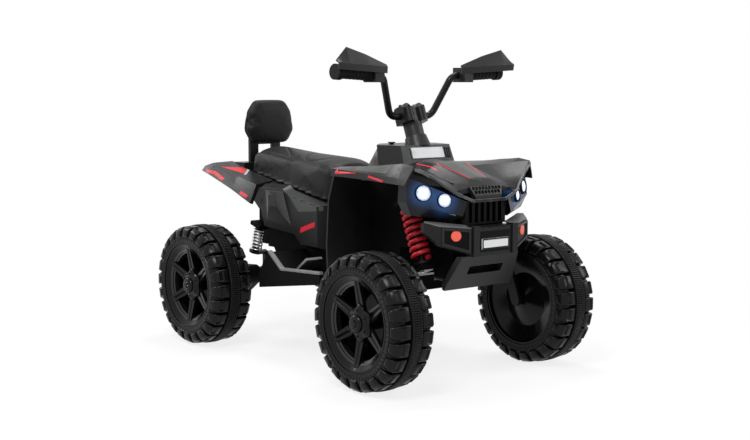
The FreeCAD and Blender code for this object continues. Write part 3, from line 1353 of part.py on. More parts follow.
def rear_fender_section(share_row):
    """One closed section of the right rear fender."""
    along, inner, crease_place, crease, edge_place, edge = share_row
    y = HAUNCH_Y + SHOULDER + FIT_GAP + REAR_FENDER_LENGTH * along
    x0 = -TAIL_HALF - FIT_GAP
    line = [
        (x0, RIM_Z + REAR_FENDER_RISE * inner),
        (x0 - REAR_FENDER_WIDTH * crease_place, RIM_Z + REAR_FENDER_RISE * crease),
        (x0 - REAR_FENDER_WIDTH * edge_place, RIM_Z + REAR_FENDER_RISE * edge),
    ]
    tip = (x0 - REAR_FENDER_WIDTH * edge_place + REAR_FENDER_EDGE, RIM_Z + REAR_FENDER_RISE * edge - SKIN)
    under = [(line[1][0] + REAR_FENDER_EDGE, line[1][1] - REAR_FENDER_EDGE),
             (x0, line[0][1] - REAR_FENDER_EDGE)]
    return [Vector(x, y, z) for x, z in line + [tip] + under]


def rear_fender():
    """The right rear fender: a creased wing that rises to the tail."""
    return loft([rear_fender_section(row) for row in REAR_FENDER_STATION_SHARES])


def cushion_section(along, half_share, depth_share):
    """One rounded section of the seat cushion."""
    y = SEAT_FRONT_Y + SEAT_LENGTH * along
    half = (CUSHION_FRONT_HALF + (CUSHION_REAR_HALF - CUSHION_FRONT_HALF) * along) * half_share
    depth = (CUSHION_FRONT_DEPTH + (CUSHION_REAR_DEPTH - CUSHION_FRONT_DEPTH) * along) * depth_share
    foot = seat_pan_height(y) + FIT_GAP
    top_half = half * CUSHION_LEAN_SHARE
    shoulder = foot + depth - CUSHION_CROWN
    low = Vector(-half, y, foot), Vector(half, y, foot)
    right = corner_arc(low[1], Vector(top_half, y, shoulder), Vector(0, y, shoulder), CUSHION_CORNER)
    left = [Vector(-point.x, point.y, point.z) for point in reversed(right)]
    crown = Vector(0, y, foot + depth)
    edges = [
        Part.makeLine(low[0], low[1]),
        Part.makeLine(low[1], right[0]),
        Part.Arc(*right).toShape(),
        Part.Arc(right[2], crown, left[0]).toShape(),
        Part.Arc(*left).toShape(),
        Part.makeLine(left[2], low[0]),
    ]
    return Part.Wire(edges)


def seat_cushion():
    """The long padded seat with a crowned top and drawn-in ends."""
    sections = [cushion_section(*row) for row in CUSHION_STATION_SHARES]
    return Part.makeLoft(sections, True, True)


def backrest_place():
    """Back face and foot height of the backrest cushion."""
    rear = SEAT_REAR_Y + BACKREST_DEPTH / 2
    return rear, RIM_Z + DECK_RISE + BACKREST_LIFT


def backrest_cushion():
    """The padded backrest with a crowned front and drawn-in edges."""
    rear, foot = backrest_place()
    sections = []
    for depth, scale in BACKREST_SECTION_SHARES:
        y = rear - BACKREST_DEPTH * depth
        points = []
        for across, up in BACKREST_SHARES:
            z = foot + BACKREST_HEIGHT * (0.5 + (up - 0.5) * scale)
            points.append(Vector(BACKREST_WIDTH * across * scale, y, z))
        sections.append(rounded_wire(points, BACKREST_CORNER * scale))
    return Part.makeLoft(sections, True, True)


def backrest_frame():
    """Two posts on the tail deck and the plate that the backrest is screwed to."""
    rear, foot = backrest_place()
    y = rear + FIT_GAP
    deck = RIM_Z + DECK_RISE + SNUG_GAP
    plate_top = foot + BACKREST_HEIGHT * BACK_PLATE_SHARE
    half = POST_SPACING / 2 + BACK_POST_WIDTH / 2
    pieces = [block(-half, half, y, y + BACK_PLATE_THICKNESS, foot, plate_top)]
    for side in (-1, 1):
        x = side * POST_SPACING / 2
        x0, x1 = x - BACK_POST_WIDTH / 2, x + BACK_POST_WIDTH / 2
        pieces.append(block(x0, x1, y, y + BACK_POST_DEPTH, deck, plate_top))
    return fused(pieces)


# Power pack
def battery():
    """The battery on the tub's floor, with two terminals."""
    y0 = COWL_Y + BATTERY_BACK
    foot = FLOOR_Z + WALL + SNUG_GAP
    half = BATTERY_WIDTH / 2
    top = foot + BATTERY_HEIGHT
    pieces = [block(-half, half, y0, y0 + BATTERY_LENGTH, foot, top)]
    for side in (-1, 1):
        x = side * (half - BATTERY_TERMINAL_INSET)
        y = y0 + BATTERY_TERMINAL_INSET
        pieces.append(rod_z(x, y, top, top + BATTERY_TERMINAL, BATTERY_TERMINAL / 2))
    return fused(pieces)


def control_box():
    """The speed controller ahead of the battery, with its plug."""
    y0 = COWL_Y + CONTROL_BACK
    foot = FLOOR_Z + WALL + SNUG_GAP
    half = CONTROL_WIDTH / 2
    case = block(-half, half, y0, y0 + CONTROL_LENGTH, foot, foot + CONTROL_HEIGHT)
    plug = block(-CONTROL_PLUG, CONTROL_PLUG, y0 + CONTROL_LENGTH, y0 + CONTROL_LENGTH + CONTROL_PLUG,
                 foot + CONTROL_PLUG / 2, foot + CONTROL_PLUG * 2)
    return fused([case, plug])


# Steering
def steering_column():
    """The column with its sleeve under the clamp and the crank at its foot."""
    column = rod_z(0, 0, COLUMN_FOOT, COLUMN_TOP, COLUMN_RADIUS)
    sleeve = rod_z(0, 0, COLUMN_TOP - SLEEVE_LENGTH, COLUMN_TOP, SLEEVE_RADIUS)
    crank_top = COLUMN_FOOT + CRANK_THICKNESS
    crank = block(-CRANK_WIDTH / 2, CRANK_WIDTH / 2, 0, STEERING_ARM, COLUMN_FOOT, crank_top)
    ends = [rod_z(0, y, COLUMN_FOOT, crank_top, CRANK_WIDTH / 2) for y in (0, STEERING_ARM)]
    pin = rod_z(0, STEERING_ARM, BEAM_LIFT - CRANK_PIN_DROP, crank_top, CRANK_PIN_RADIUS)
    return leaning(fused([column, sleeve, crank, pin] + ends))


def bar_points():
    """The handlebar's corners in the leaning frame, from right end to left end."""
    half = [
        Vector(-BAR_HALF_WIDTH, -BAR_TIP_LEAN, BAR_W + BAR_UPSWEEP + BAR_TIP_RISE),
        Vector(-BAR_BEND_HALF, -BAR_LEAN, BAR_W + BAR_UPSWEEP),
        Vector(-BAR_CENTRE_HALF, 0, BAR_W),
    ]
    return half + [Vector(-point.x, point.y, point.z) for point in reversed(half)]


def handlebar_tube():
    """The bent handlebar."""
    return leaning(bent_tube(bar_points(), BAR_BEND_RADIUS, BAR_RADIUS))


def handlebar_clamp():
    """The clamp block on the column, with two ridges over the bar and down its front."""
    half = CLAMP_WIDTH / 2
    depth = CLAMP_DEPTH / 2
    foot = COLUMN_TOP + SNUG_GAP
    top = foot + CLAMP_HEIGHT
    outline = [(-depth, foot), (-depth, top - CLAMP_CHAMFER), (-depth + CLAMP_CHAMFER, top),
               (depth - CLAMP_CHAMFER, top), (depth, top - CLAMP_CHAMFER), (depth, foot)]
    pieces = [prism_x(outline, -half, half)]
    for side in (-1, 1):
        x = side * CLAMP_RIDGE_SPACING / 2
        front, rear = Vector(x, -depth, top - CLAMP_CHAMFER), Vector(x, depth, top - CLAMP_CHAMFER)
        pieces.append(rod(front, rear, CLAMP_RIDGE_RADIUS))
        pieces.append(rod(Vector(x, -depth, foot), front, CLAMP_RIDGE_RADIUS))
    clamp = fused(pieces)
    return leaning(clamp.cut(rod_x(-half, half, 0, BAR_W, BAR_RADIUS + SNUG_GAP)))


def grip_run():
    """Outer end of the right grip and the direction towards the middle."""
    tip, bend = bar_points()[0], bar_points()[1]
    return tip, (bend - tip).normalize()


def grip():
    """The right grip: a ringed sleeve with a flange at each end and a knob on its tip."""
    tip, inward = grip_run()
    outline = [(BAR_RADIUS + SNUG_GAP, 0), (GRIP_FLANGE_RADIUS, 0), (GRIP_FLANGE_RADIUS, GRIP_FLANGE_WIDTH)]
    pitch = (GRIP_LENGTH - 2 * GRIP_FLANGE_WIDTH) / GRIP_RING_COUNT
    valley = GRIP_RADIUS - GRIP_RING_DEPTH
    for place in range(GRIP_RING_COUNT):
        start = GRIP_FLANGE_WIDTH + pitch * place
        ring = start + pitch - GRIP_RING_WIDTH
        outline += [(valley, start), (valley, ring), (GRIP_RADIUS, ring), (GRIP_RADIUS, start + pitch)]
    outline += [(GRIP_FLANGE_RADIUS, GRIP_LENGTH - GRIP_FLANGE_WIDTH), (GRIP_FLANGE_RADIUS, GRIP_LENGTH),
                (BAR_RADIUS + SNUG_GAP, GRIP_LENGTH)]
    knob_end = -GRIP_NECK_LENGTH - GRIP_KNOB_WIDTH
    cap_foot = -GRIP_FLANGE_WIDTH / 2
    cap = Part.makeCylinder(GRIP_FLANGE_RADIUS, -cap_foot, Vector(0, 0, cap_foot), AXIS_Z)
    neck = Part.makeCylinder(GRIP_NECK_RADIUS, -knob_end, Vector(0, 0, knob_end), AXIS_Z)
    knob = Part.makeCylinder(GRIP_FLANGE_RADIUS, GRIP_KNOB_WIDTH, Vector(0, 0, knob_end), AXIS_Z)
    sleeve = fused([revolve_z(outline), cap, neck, knob])
    return leaning(aimed(sleeve, inward, tip))


def hand_guard():
    """The right hand guard: a faceted visor ahead of and above the grip, held by a stay on the bar."""
    tip, bend = [leaning_point(point) for point in bar_points()[:2]]
    sections = []
    for along, foot, ridge, crest, crest_up in GUARD_SECTION_SHARES:
        x = -(GUARD_INNER_X + (GUARD_OUTER_X - GUARD_INNER_X) * along)
        share = (x - bend.x) / (tip.x - bend.x)
        axis_y = bend.y + (tip.y - bend.y) * share
        axis_z = bend.z + (tip.z - bend.z) * share
        line = [
            (axis_y - GUARD_REACH * foot, axis_z + GUARD_FOOT_RISE),
            (axis_y - GUARD_REACH * ridge, axis_z + GUARD_CREST * GUARD_RIDGE_SHARE),
            (axis_y - GUARD_REACH * crest, axis_z + GUARD_CREST * crest_up),
        ]
        sections.append([Vector(x, y, z) for y, z in band(line, SKIN)])
    shield = loft(sections)
    stay_x = -GUARD_INNER_X - GUARD_STAY_SETBACK
    share = (stay_x - bend.x) / (tip.x - bend.x)
    stay_y = bend.y + (tip.y - bend.y) * share
    stay_z = bend.z + (tip.z - bend.z) * share
    around = BAR_RADIUS + GUARD_STAY_WALL
    reach = GUARD_REACH * GUARD_SECTION_SHARES[0][1]
    stay = block(stay_x - GUARD_STAY_WIDTH / 2, stay_x + GUARD_STAY_WIDTH / 2, stay_y - reach,
                 stay_y + around, stay_z - around, stay_z + around)
    guard = fused([shield, stay])
    return guard.cut(rod(bend, tip, BAR_RADIUS + SNUG_GAP))


def at_beam(shape):
    """A shape drawn about the beam's middle, lifted to the beam and leaned back."""
    lifted = shape.copy()
    lifted.translate(Vector(0, 0, BEAM_LIFT))
    return leaning(lifted)


def leaning_point(point):
    """A point of the leaning frame in the vehicle's frame."""
    angle = radians(RAKE_DEG)
    return Vector(point.x, FRONT_AXLE_Y + point.y * cos(angle) + point.z * sin(angle),
                  AXLE_Z - point.y * sin(angle) + point.z * cos(angle))


# Front axle
def front_axle_beam():
    """The portal beam with a yoke for each knuckle and a perch for each shock."""
    half = KNUCKLE_HEIGHT / 2 + FIT_GAP
    reach = KINGPIN_X - KNUCKLE_RADIUS - LEG_GAP
    pieces = [block(-reach, reach, -BEAM_DEPTH / 2, BEAM_DEPTH / 2, -BEAM_HEIGHT / 2, BEAM_HEIGHT / 2)]
    perch_top = SHOCK_SPRING_FOOT - SHOCK_SEAT_THICKNESS - BEAM_LIFT - SNUG_GAP
    yoke_top = half + YOKE_THICKNESS
    web = block(-reach, -reach + YOKE_RADIUS, -YOKE_RADIUS, YOKE_RADIUS, -yoke_top, yoke_top)
    perch = block(-SHOCK_X - SHOCK_PERCH_WIDTH / 2, -SHOCK_X + SHOCK_PERCH_WIDTH / 2,
                  -SHOCK_LEAD - SHOCK_PERCH_WIDTH / 2, 0, -BEAM_HEIGHT / 2, perch_top)
    right = [web, perch]
    for foot in (-half - YOKE_THICKNESS, half):
        right.append(rod_z(-KINGPIN_X, 0, foot, foot + YOKE_THICKNESS, YOKE_RADIUS))
        right.append(block(-KINGPIN_X, -reach, -YOKE_RADIUS, YOKE_RADIUS, foot, foot + YOKE_THICKNESS))
    beam = fused(pieces + right + [mirrored(piece) for piece in right])
    for x in (-KINGPIN_X, KINGPIN_X):
        beam = beam.cut(rod_z(x, 0, -2 * half, 2 * half, KINGPIN_RADIUS + SNUG_GAP))
    return at_beam(beam)


def kingpins():
    """The two headed pins that the knuckles turn on."""
    half = KNUCKLE_HEIGHT / 2 + FIT_GAP + YOKE_THICKNESS
    shank = rod_z(-KINGPIN_X, 0, -half, half + KINGPIN_HEAD, KINGPIN_RADIUS)
    head = rod_z(-KINGPIN_X, 0, half + SNUG_GAP, half + KINGPIN_HEAD, 2 * KINGPIN_RADIUS)
    return pair(at_beam(fused([shank, head])))


def knuckle():
    """The right knuckle: a barrel on the kingpin, a leg down to the stub axle and the steering arm."""
    half = KNUCKLE_HEIGHT / 2
    leg_inner = -KINGPIN_X - YOKE_RADIUS - LEG_GAP
    leg_outer = leg_inner - LEG_THICKNESS
    barrel = rod_z(-KINGPIN_X, 0, -half, half, KNUCKLE_RADIUS)
    bridge = block(leg_outer, -KINGPIN_X, -LEG_WIDTH / 2, LEG_WIDTH / 2, -half, -half + LEG_BRIDGE)
    leg = block(leg_outer, leg_inner, -LEG_WIDTH / 2, LEG_WIDTH / 2, -BEAM_LIFT, -half + LEG_BRIDGE)
    leg_end = rod_x(leg_outer, leg_inner, 0, -BEAM_LIFT, LEG_WIDTH / 2)
    hub_face = WHEEL_X - HUB_INNER_HALF - FIT_GAP
    nut_face = WHEEL_X + HUB_OUTER_HALF + FIT_GAP
    collar = rod_x(-hub_face, leg_inner, 0, -BEAM_LIFT, STUB_COLLAR_RADIUS)
    stub = rod_x(-nut_face - NUT_THICKNESS, leg_inner, 0, -BEAM_LIFT, STUB_RADIUS)
    nut = prism_x(nut_outline(0, -BEAM_LIFT), -nut_face - NUT_THICKNESS, -nut_face)
    eye = -TIE_EYE_THICKNESS / 2 - FIT_GAP
    arm = block(-KINGPIN_X - ARM_WIDTH / 2, -KINGPIN_X + ARM_WIDTH / 2, 0, STEERING_ARM,
                eye - ARM_THICKNESS, eye)
    arm_end = rod_z(-KINGPIN_X, STEERING_ARM, eye - ARM_THICKNESS, eye, ARM_WIDTH / 2)
    head = TIE_EYE_THICKNESS / 2 + FIT_GAP
    pin = rod_z(-KINGPIN_X, STEERING_ARM, eye - ARM_THICKNESS, head, TIE_PIN_RADIUS)
    pin_head = rod_z(-KINGPIN_X, STEERING_ARM, head, head + TIE_PIN_HEAD, TIE_PIN_HEAD_RADIUS)
    solid = fused([barrel, bridge, leg, leg_end, collar, stub, nut, arm, arm_end, pin, pin_head])
    return at_beam(solid.cut(rod_z(-KINGPIN_X, 0, -2 * half, 2 * half, KINGPIN_RADIUS + RUNNING_GAP)))


def nut_outline(y, z):
    """A hexagon about an axle, as (y, z) pairs."""
    reach = NUT_ACROSS / 2
    return [(y + reach * cos(pi * k / 3), z + reach * sin(pi * k / 3)) for k in range(6)]


def tie_rod():
    """The rod that joins both steering arms, with a middle eye for the crank's pin."""
    half = TIE_EYE_THICKNESS / 2
    pieces = [rod_x(-KINGPIN_X, KINGPIN_X, STEERING_ARM, 0, TIE_ROD_RADIUS)]
    for x in (-KINGPIN_X, 0, KINGPIN_X):
        pieces.append(rod_z(x, STEERING_ARM, -half, half, TIE_EYE_RADIUS))
    solid = fused(pieces)
    for x, radius in ((-KINGPIN_X, TIE_PIN_RADIUS), (0, CRANK_PIN_RADIUS), (KINGPIN_X, TIE_PIN_RADIUS)):
        solid = solid.cut(rod_z(x, STEERING_ARM, -2 * half, 2 * half, radius + RUNNING_GAP))
    return at_beam(solid)


def shock_heights():
    """Spring foot and spring top along the shock, in the leaning frame."""
    return SHOCK_SPRING_FOOT, SHOCK_SPRING_FOOT + front_spring_height()


def front_shock_body():
    """The right shock's upper tube with the spring's top seat."""
    top = shock_heights()[1]
    seat = rod_z(-SHOCK_X, -SHOCK_LEAD, top, top + SHOCK_SEAT_THICKNESS - SNUG_GAP, SHOCK_SEAT_RADIUS)
    tube_foot = top - SHOCK_TUBE_LENGTH
    tube = rod_z(-SHOCK_X, -SHOCK_LEAD, tube_foot, top, SHOCK_TUBE_RADIUS)
    bore_radius = SHOCK_ROD_RADIUS + RUNNING_GAP
    bore = rod_z(-SHOCK_X, -SHOCK_LEAD, tube_foot - OVERRUN, top - WALL, bore_radius)
    return leaning(fused([seat, tube]).cut(bore))


def front_shock_rod():
    """The right shock's rod with the spring's lower seat, standing on the axle beam."""
    foot, top = shock_heights()
    rod_top = top - WALL - FRONT_TRAVEL - FIT_GAP
    seat = rod_z(-SHOCK_X, -SHOCK_LEAD, foot - SHOCK_SEAT_THICKNESS, foot, SHOCK_SEAT_RADIUS)
    shank = rod_z(-SHOCK_X, -SHOCK_LEAD, foot, rod_top, SHOCK_ROD_RADIUS)
    return leaning(fused([seat, shank]))


def front_springs():
    """The two coils round the front shocks."""
    spring = coil("front spring", FRONT_COIL_RADIUS, FRONT_WIRE_RADIUS, FRONT_PITCH, FRONT_TURNS)
    foot = SHOCK_SPRING_FOOT + coil_foot(FRONT_COIL_RADIUS, FRONT_WIRE_RADIUS, FRONT_PITCH)
    spring.translate(Vector(-SHOCK_X, -SHOCK_LEAD, foot))
    return pair(leaning(spring))


def rear_springs():
    """The two coils between the swing arm and the tub."""
    spring = coil("rear spring", REAR_COIL_RADIUS, REAR_WIRE_RADIUS, REAR_PITCH, REAR_TURNS)
    spring.translate(Vector(0, 0, coil_foot(REAR_COIL_RADIUS, REAR_WIRE_RADIUS, REAR_PITCH)))
    return pair(aimed(spring, rear_spring_direction(), rear_spring_foot()))


# Rear axle
def swing_arm():
    """The rear arm: a pivot tube, two bars, an axle tube and a seat for each spring."""
    lug_inner = PIVOT_LUG_X - PIVOT_LUG_WIDTH / 2 - FIT_GAP
    lug_outer = PIVOT_LUG_X + PIVOT_LUG_WIDTH / 2
    pieces = [
        rod_x(-lug_inner, lug_inner, PIVOT_Y, PIVOT_Z, CROSS_TUBE_RADIUS),
        rod_x(-lug_outer, lug_outer, PIVOT_Y, PIVOT_Z, TRUNNION_RADIUS),
        rod_x(-GEARBOX_INNER_X + SNUG_GAP, GEARBOX_INNER_X - SNUG_GAP, REAR_AXLE_Y, AXLE_Z, AXLE_TUBE_RADIUS),
    ]
    half = SWING_BAR_HEIGHT / 2
    bar_outline = [(PIVOT_Y, PIVOT_Z - half), (REAR_AXLE_Y, AXLE_Z - half),
                   (REAR_AXLE_Y, AXLE_Z + half), (PIVOT_Y, PIVOT_Z + half)]
    bar_x0 = SWING_BAR_X - SWING_BAR_WIDTH / 2
    bar_x1 = SWING_BAR_X + SWING_BAR_WIDTH / 2
    foot = rear_spring_foot()
    seat = rod_z(0, 0, -REAR_SEAT_THICKNESS, 0, REAR_SEAT_RADIUS)
    peg = rod_z(0, 0, -REAR_SEAT_THICKNESS, REAR_PEG_LENGTH, REAR_PEG_RADIUS)
    arm = block(0, REAR_SPRING_X - SWING_BAR_X, -REAR_POST_WIDTH / 2, REAR_POST_WIDTH / 2,
                -2 * REAR_SEAT_THICKNESS, -REAR_SEAT_THICKNESS / 2)
    perch = aimed(fused([seat, peg, arm]), rear_spring_direction(), foot)
    post = block(-bar_x1, -bar_x0, foot.y - REAR_POST_WIDTH / 2, foot.y + REAR_POST_WIDTH / 2,
                 AXLE_Z, foot.z - REAR_SEAT_THICKNESS)
    for side in (-1, 1):
        x0, x1 = (-bar_x1, -bar_x0) if side < 0 else (bar_x0, bar_x1)
        pieces.append(prism_x(bar_outline, x0, x1))
        pieces.append(perch if side < 0 else mirrored(perch))
        pieces.append(post if side < 0 else mirrored(post))
    arm_solid = fused(pieces)
    return arm_solid.cut(rod_x(-WHEEL_X, WHEEL_X, REAR_AXLE_Y, AXLE_Z, AXLE_RADIUS + SNUG_GAP))


def rear_axle_rod():
    """The rear axle with a collar inside and a nut outside each wheel."""
    hub_face = WHEEL_X - HUB_INNER_HALF - FIT_GAP
    nut_face = WHEEL_X + HUB_OUTER_HALF + FIT_GAP
    end = nut_face + NUT_THICKNESS
    pieces = [rod_x(-end, end, REAR_AXLE_Y, AXLE_Z, AXLE_RADIUS)]
    for side in (-1, 1):
        case_face = GEARBOX_OUTER_X + SNUG_GAP
        pieces.append(prism_x(nut_outline(REAR_AXLE_Y, AXLE_Z), side * nut_face, side * end))
        pieces.append(rod_x(side * case_face, side * hub_face, REAR_AXLE_Y, AXLE_Z, STUB_COLLAR_RADIUS))
    return fused(pieces)


def gearbox():
    """The right gearbox: a teardrop case round the axle and the motor's pinion."""
    motor_y = REAR_AXLE_Y - MOTOR_AHEAD
    motor_z = AXLE_Z + MOTOR_RISE
    span = hypot(MOTOR_AHEAD, MOTOR_RISE)
    turn = acos((GEARBOX_RADIUS - GEARBOX_NOSE_RADIUS) / span)
    towards = Vector(0, -MOTOR_AHEAD / span, MOTOR_RISE / span)
    across = Vector(0, -towards.z, towards.y)
    tangents = []
    for sign in (-1, 1):
        normal = towards * cos(turn) + across * (sign * sin(turn))
        tangents.append(Vector(0, REAR_AXLE_Y, AXLE_Z) + normal * GEARBOX_RADIUS)
        tangents.append(Vector(0, motor_y, motor_z) + normal * GEARBOX_NOSE_RADIUS)
    waist = [(tangents[k].y, tangents[k].z) for k in (0, 1, 3, 2)]
    pieces = [
        rod_x(-GEARBOX_OUTER_X, -GEARBOX_INNER_X, REAR_AXLE_Y, AXLE_Z, GEARBOX_RADIUS),
        rod_x(-GEARBOX_OUTER_X, -GEARBOX_INNER_X, motor_y, motor_z, GEARBOX_NOSE_RADIUS),
        prism_x(waist, -GEARBOX_OUTER_X, -GEARBOX_INNER_X),
    ]
    case = fused(pieces)
    middle = -(GEARBOX_INNER_X + GEARBOX_OUTER_X) / 2
    line_half = GEARBOX_LINE / 2
    flange_radius = GEARBOX_RADIUS + GEARBOX_LINE
    flange = rod_x(middle - line_half, middle + line_half, REAR_AXLE_Y, AXLE_Z, flange_radius)
    case = fused([case, flange])
    return case.cut(rod_x(-WHEEL_X, 0, REAR_AXLE_Y, AXLE_Z, AXLE_RADIUS + SNUG_GAP))


def motor():
    """The right motor can on the gearbox's inner face."""
    y = REAR_AXLE_Y - MOTOR_AHEAD
    z = AXLE_Z + MOTOR_RISE
    foot = -GEARBOX_INNER_X + SNUG_GAP
    can = rod_x(foot, foot + MOTOR_LENGTH, y, z, MOTOR_RADIUS)
    cap = rod_x(foot + MOTOR_LENGTH, foot + MOTOR_LENGTH + MOTOR_CAP_LENGTH, y, z, MOTOR_CAP_RADIUS)
    return fused([can, cap])


# Wheels
def carcass_line(inset):
    """Half section of the tyre carcass from bead to crown, as (x, radius) pairs."""
    rise = CARCASS_RADIUS - BEAD_RADIUS
    half = CARCASS_HALF - inset
    return [(half * across, BEAD_RADIUS + (rise - inset) * up) for across, up in CARCASS_SHARES]


def tyre():
    """The hollow tyre with two staggered rows of lugs."""
    outer = carcass_line(0)
    inner = carcass_line(CARCASS_WALL)
    outline = [(-x, r) for x, r in outer] + list(reversed(outer))
    outline += inner + [(-x, r) for x, r in reversed(inner)]
    carcass = revolve_x(outline)
    profile = [(LUG_HALF * across, CARCASS_RADIUS + LUG_HEIGHT * up) for across, up in LUG_PROFILE_SHARES]
    root = [(CARCASS_HALF - CARCASS_WALL / 2, profile[-1][1]), (carcass_line(CARCASS_WALL / 2)[2]),
            (carcass_line(CARCASS_WALL / 2)[3]), (profile[0][0], CARCASS_RADIUS - CARCASS_WALL / 2)]
    face = Part.Face(closed([Vector(x, -LUG_LENGTH / 2, r) for x, r in profile + root]))
    lug = face.extrude(Vector(0, LUG_LENGTH, 0))
    lugs = []
    for place in range(LUG_COUNT):
        for row in (0, 1):
            copy = lug.copy() if row else mirrored(lug)
            copy.rotate(ORIGIN, AXIS_X, 360.0 / LUG_COUNT * (place + row / 2))
            lugs.append(copy)
    return carcass.multiFuse(lugs).removeSplitter()


def traction_band():
    """The soft band round the middle of the tread, which touches the ground."""
    foot = CARCASS_RADIUS + SNUG_GAP
    edge = WHEEL_RADIUS - BAND_EDGE
    half = [(-BAND_HALF, foot), (-BAND_HALF, edge), (-BAND_HALF + BAND_EDGE, WHEEL_RADIUS)]
    return revolve_x(symmetric(half))


def rim(bore_radius):
    """The wheel centre: a barrel with a coned lip, a dished inner disc, a hub and grooved spokes."""
    barrel_outer = BEAD_RADIUS - SNUG_GAP
    barrel_inner = barrel_outer - RIM_BARREL_WALL
    lip_x = -RIM_HALF + RIM_LIP_DEPTH
    edge = barrel_outer - RIM_EDGE
    barrel = revolve_x([(-RIM_HALF, edge), (-RIM_HALF, barrel_outer), (RIM_HALF, barrel_outer),
                        (RIM_HALF, barrel_inner), (lip_x, barrel_inner), (lip_x, RIM_LIP_RADIUS)])
    line = [(RIM_HALF * out, barrel_outer * up) for up, out in RIM_DISC_SHARES]
    line[0] = (line[0][0], barrel_inner + RIM_BARREL_WALL / 2)
    disc = revolve_x(line + [(x - RIM_DISC_THICKNESS, r) for x, r in reversed(line)])
    hub = revolve_x([(-HUB_OUTER_HALF, bore_radius), (-HUB_OUTER_HALF, HUB_RADIUS),
                     (HUB_INNER_HALF, HUB_RADIUS), (HUB_INNER_HALF, bore_radius)])
    hub_x = lip_x + SPOKE_DISH
    top = RIM_LIP_RADIUS + RIM_BARREL_WALL

    def spoke_section(radius, width, x):
        groove = width * SPOKE_GROOVE_SHARE / 2
        line = [(-width / 2, x), (-groove, x), (0, x + SPOKE_GROOVE_DEPTH), (groove, x), (width / 2, x),
                (width / 2, x + SPOKE_THICKNESS), (-width / 2, x + SPOKE_THICKNESS)]
        return [Vector(depth, across, radius) for across, depth in line]

    spoke = loft([spoke_section(HUB_RADIUS - WALL, SPOKE_HUB_WIDTH, hub_x),
                  spoke_section(top, SPOKE_RIM_WIDTH, lip_x - RIM_LIP_DEPTH / 4)])
    bore = rod_x(-RIM_HALF, RIM_HALF, 0, 0, bore_radius)
    pieces = [barrel, disc, hub]
    for place in range(SPOKE_COUNT):
        copy = spoke.copy()
        copy.rotate(ORIGIN, AXIS_X, 360.0 / SPOKE_COUNT * place)
        pieces.append(copy)
    return fused(pieces).cut(bore)


def save_wheels():
    """The four wheels, each a tyre, a band and a rim."""
    tyre_solid = tyre()
    band_solid = traction_band()
    axles = {"front": (FRONT_AXLE_Y, STUB_RADIUS), "rear": (REAR_AXLE_Y, AXLE_RADIUS)}
    for end, (y, axle_radius) in axles.items():
        rim_solid = rim(axle_radius + RUNNING_GAP)
        for name, solid in (("tyre", tyre_solid), ("traction_band", band_solid), ("rim", rim_solid)):
            right = solid.copy()
            right.translate(Vector(-WHEEL_X, y, AXLE_Z))
            save(f"{end}_right_{name}", right)
            save(f"{end}_left_{name}", mirrored(right))


def main():
    """Build every piece and write it."""
    os.makedirs("parts", exist_ok=True)
    save("chassis_tub", chassis_tub())
    left_board, left_ribs = footboard()
    save("footboard_right", right_footboard())
    save("footboard_left", mirrored(fused([left_board] + left_ribs)))
    save("footrest_trims", pair(footrest_trim()))
    save("accelerator_pedal", accelerator_pedal())
    save("hood", hood())
    save("dash_console", dash_console())
    save("dash_panel", dash_panel())
    save("power_button", power_button())
    save("direction_switch", direction_switch())
    save("steering_boot", steering_boot())
    fender = front_fender()
    save("front_fender_right", fender)
    save("front_fender_left", mirrored(fender))
    save("nose_grille", nose_grille())
    save("front_fascia", front_fascia())
    save("headlight_housings", pair(headlight_housing()))
    save("headlamp_lenses", headlamp_lenses())
    save("front_bumper", front_bumper())
    save("bumper_reflectors", bumper_reflectors())
    save("number_plate", number_plate())
    save("bull_bar", bull_bar())
    save("side_panels", pair(side_panel()))
    save("seat_base", seat_base())
    rear = rear_fender()
    save("rear_fender_right", rear)
    save("rear_fender_left", mirrored(rear))
    save("seat_cushion", seat_cushion())
    save("backrest_frame", backrest_frame())
    save("backrest_cushion", backrest_cushion())
    save("battery", battery())
    save("control_box", control_box())
    save("steering_column", steering_column())
    save("handlebar_tube", handlebar_tube())
    save("handlebar_clamp", handlebar_clamp())
    save("grips", pair(grip()))
    save("hand_guards", pair(hand_guard()))
    save("front_axle_beam", front_axle_beam())
    save("kingpins", kingpins())
    right_knuckle = knuckle()
    save("knuckle_right", right_knuckle)
    save("knuckle_left", mirrored(right_knuckle))
    save("tie_rod", tie_rod())
    save("front_shock_bodies", pair(front_shock_body()))
    save("front_shock_rods", pair(front_shock_rod()))
    save("front_springs", front_springs())
    save("rear_springs", rear_springs())
    save("swing_arm", swing_arm())
    save("rear_axle_rod", rear_axle_rod())
    save("gearboxes", pair(gearbox()))
    save("motors", pair(motor()))
    save_wheels()


main()
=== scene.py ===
"""Looks of a child's battery quad bike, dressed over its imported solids."""

import json
import logging
import math
from dataclasses import dataclass, field
from enum import Enum
from typing import Iterable, Sequence, Union

import bmesh
import bpy
from mathutils import Matrix, Vector
from mathutils.bvhtree import BVHTree

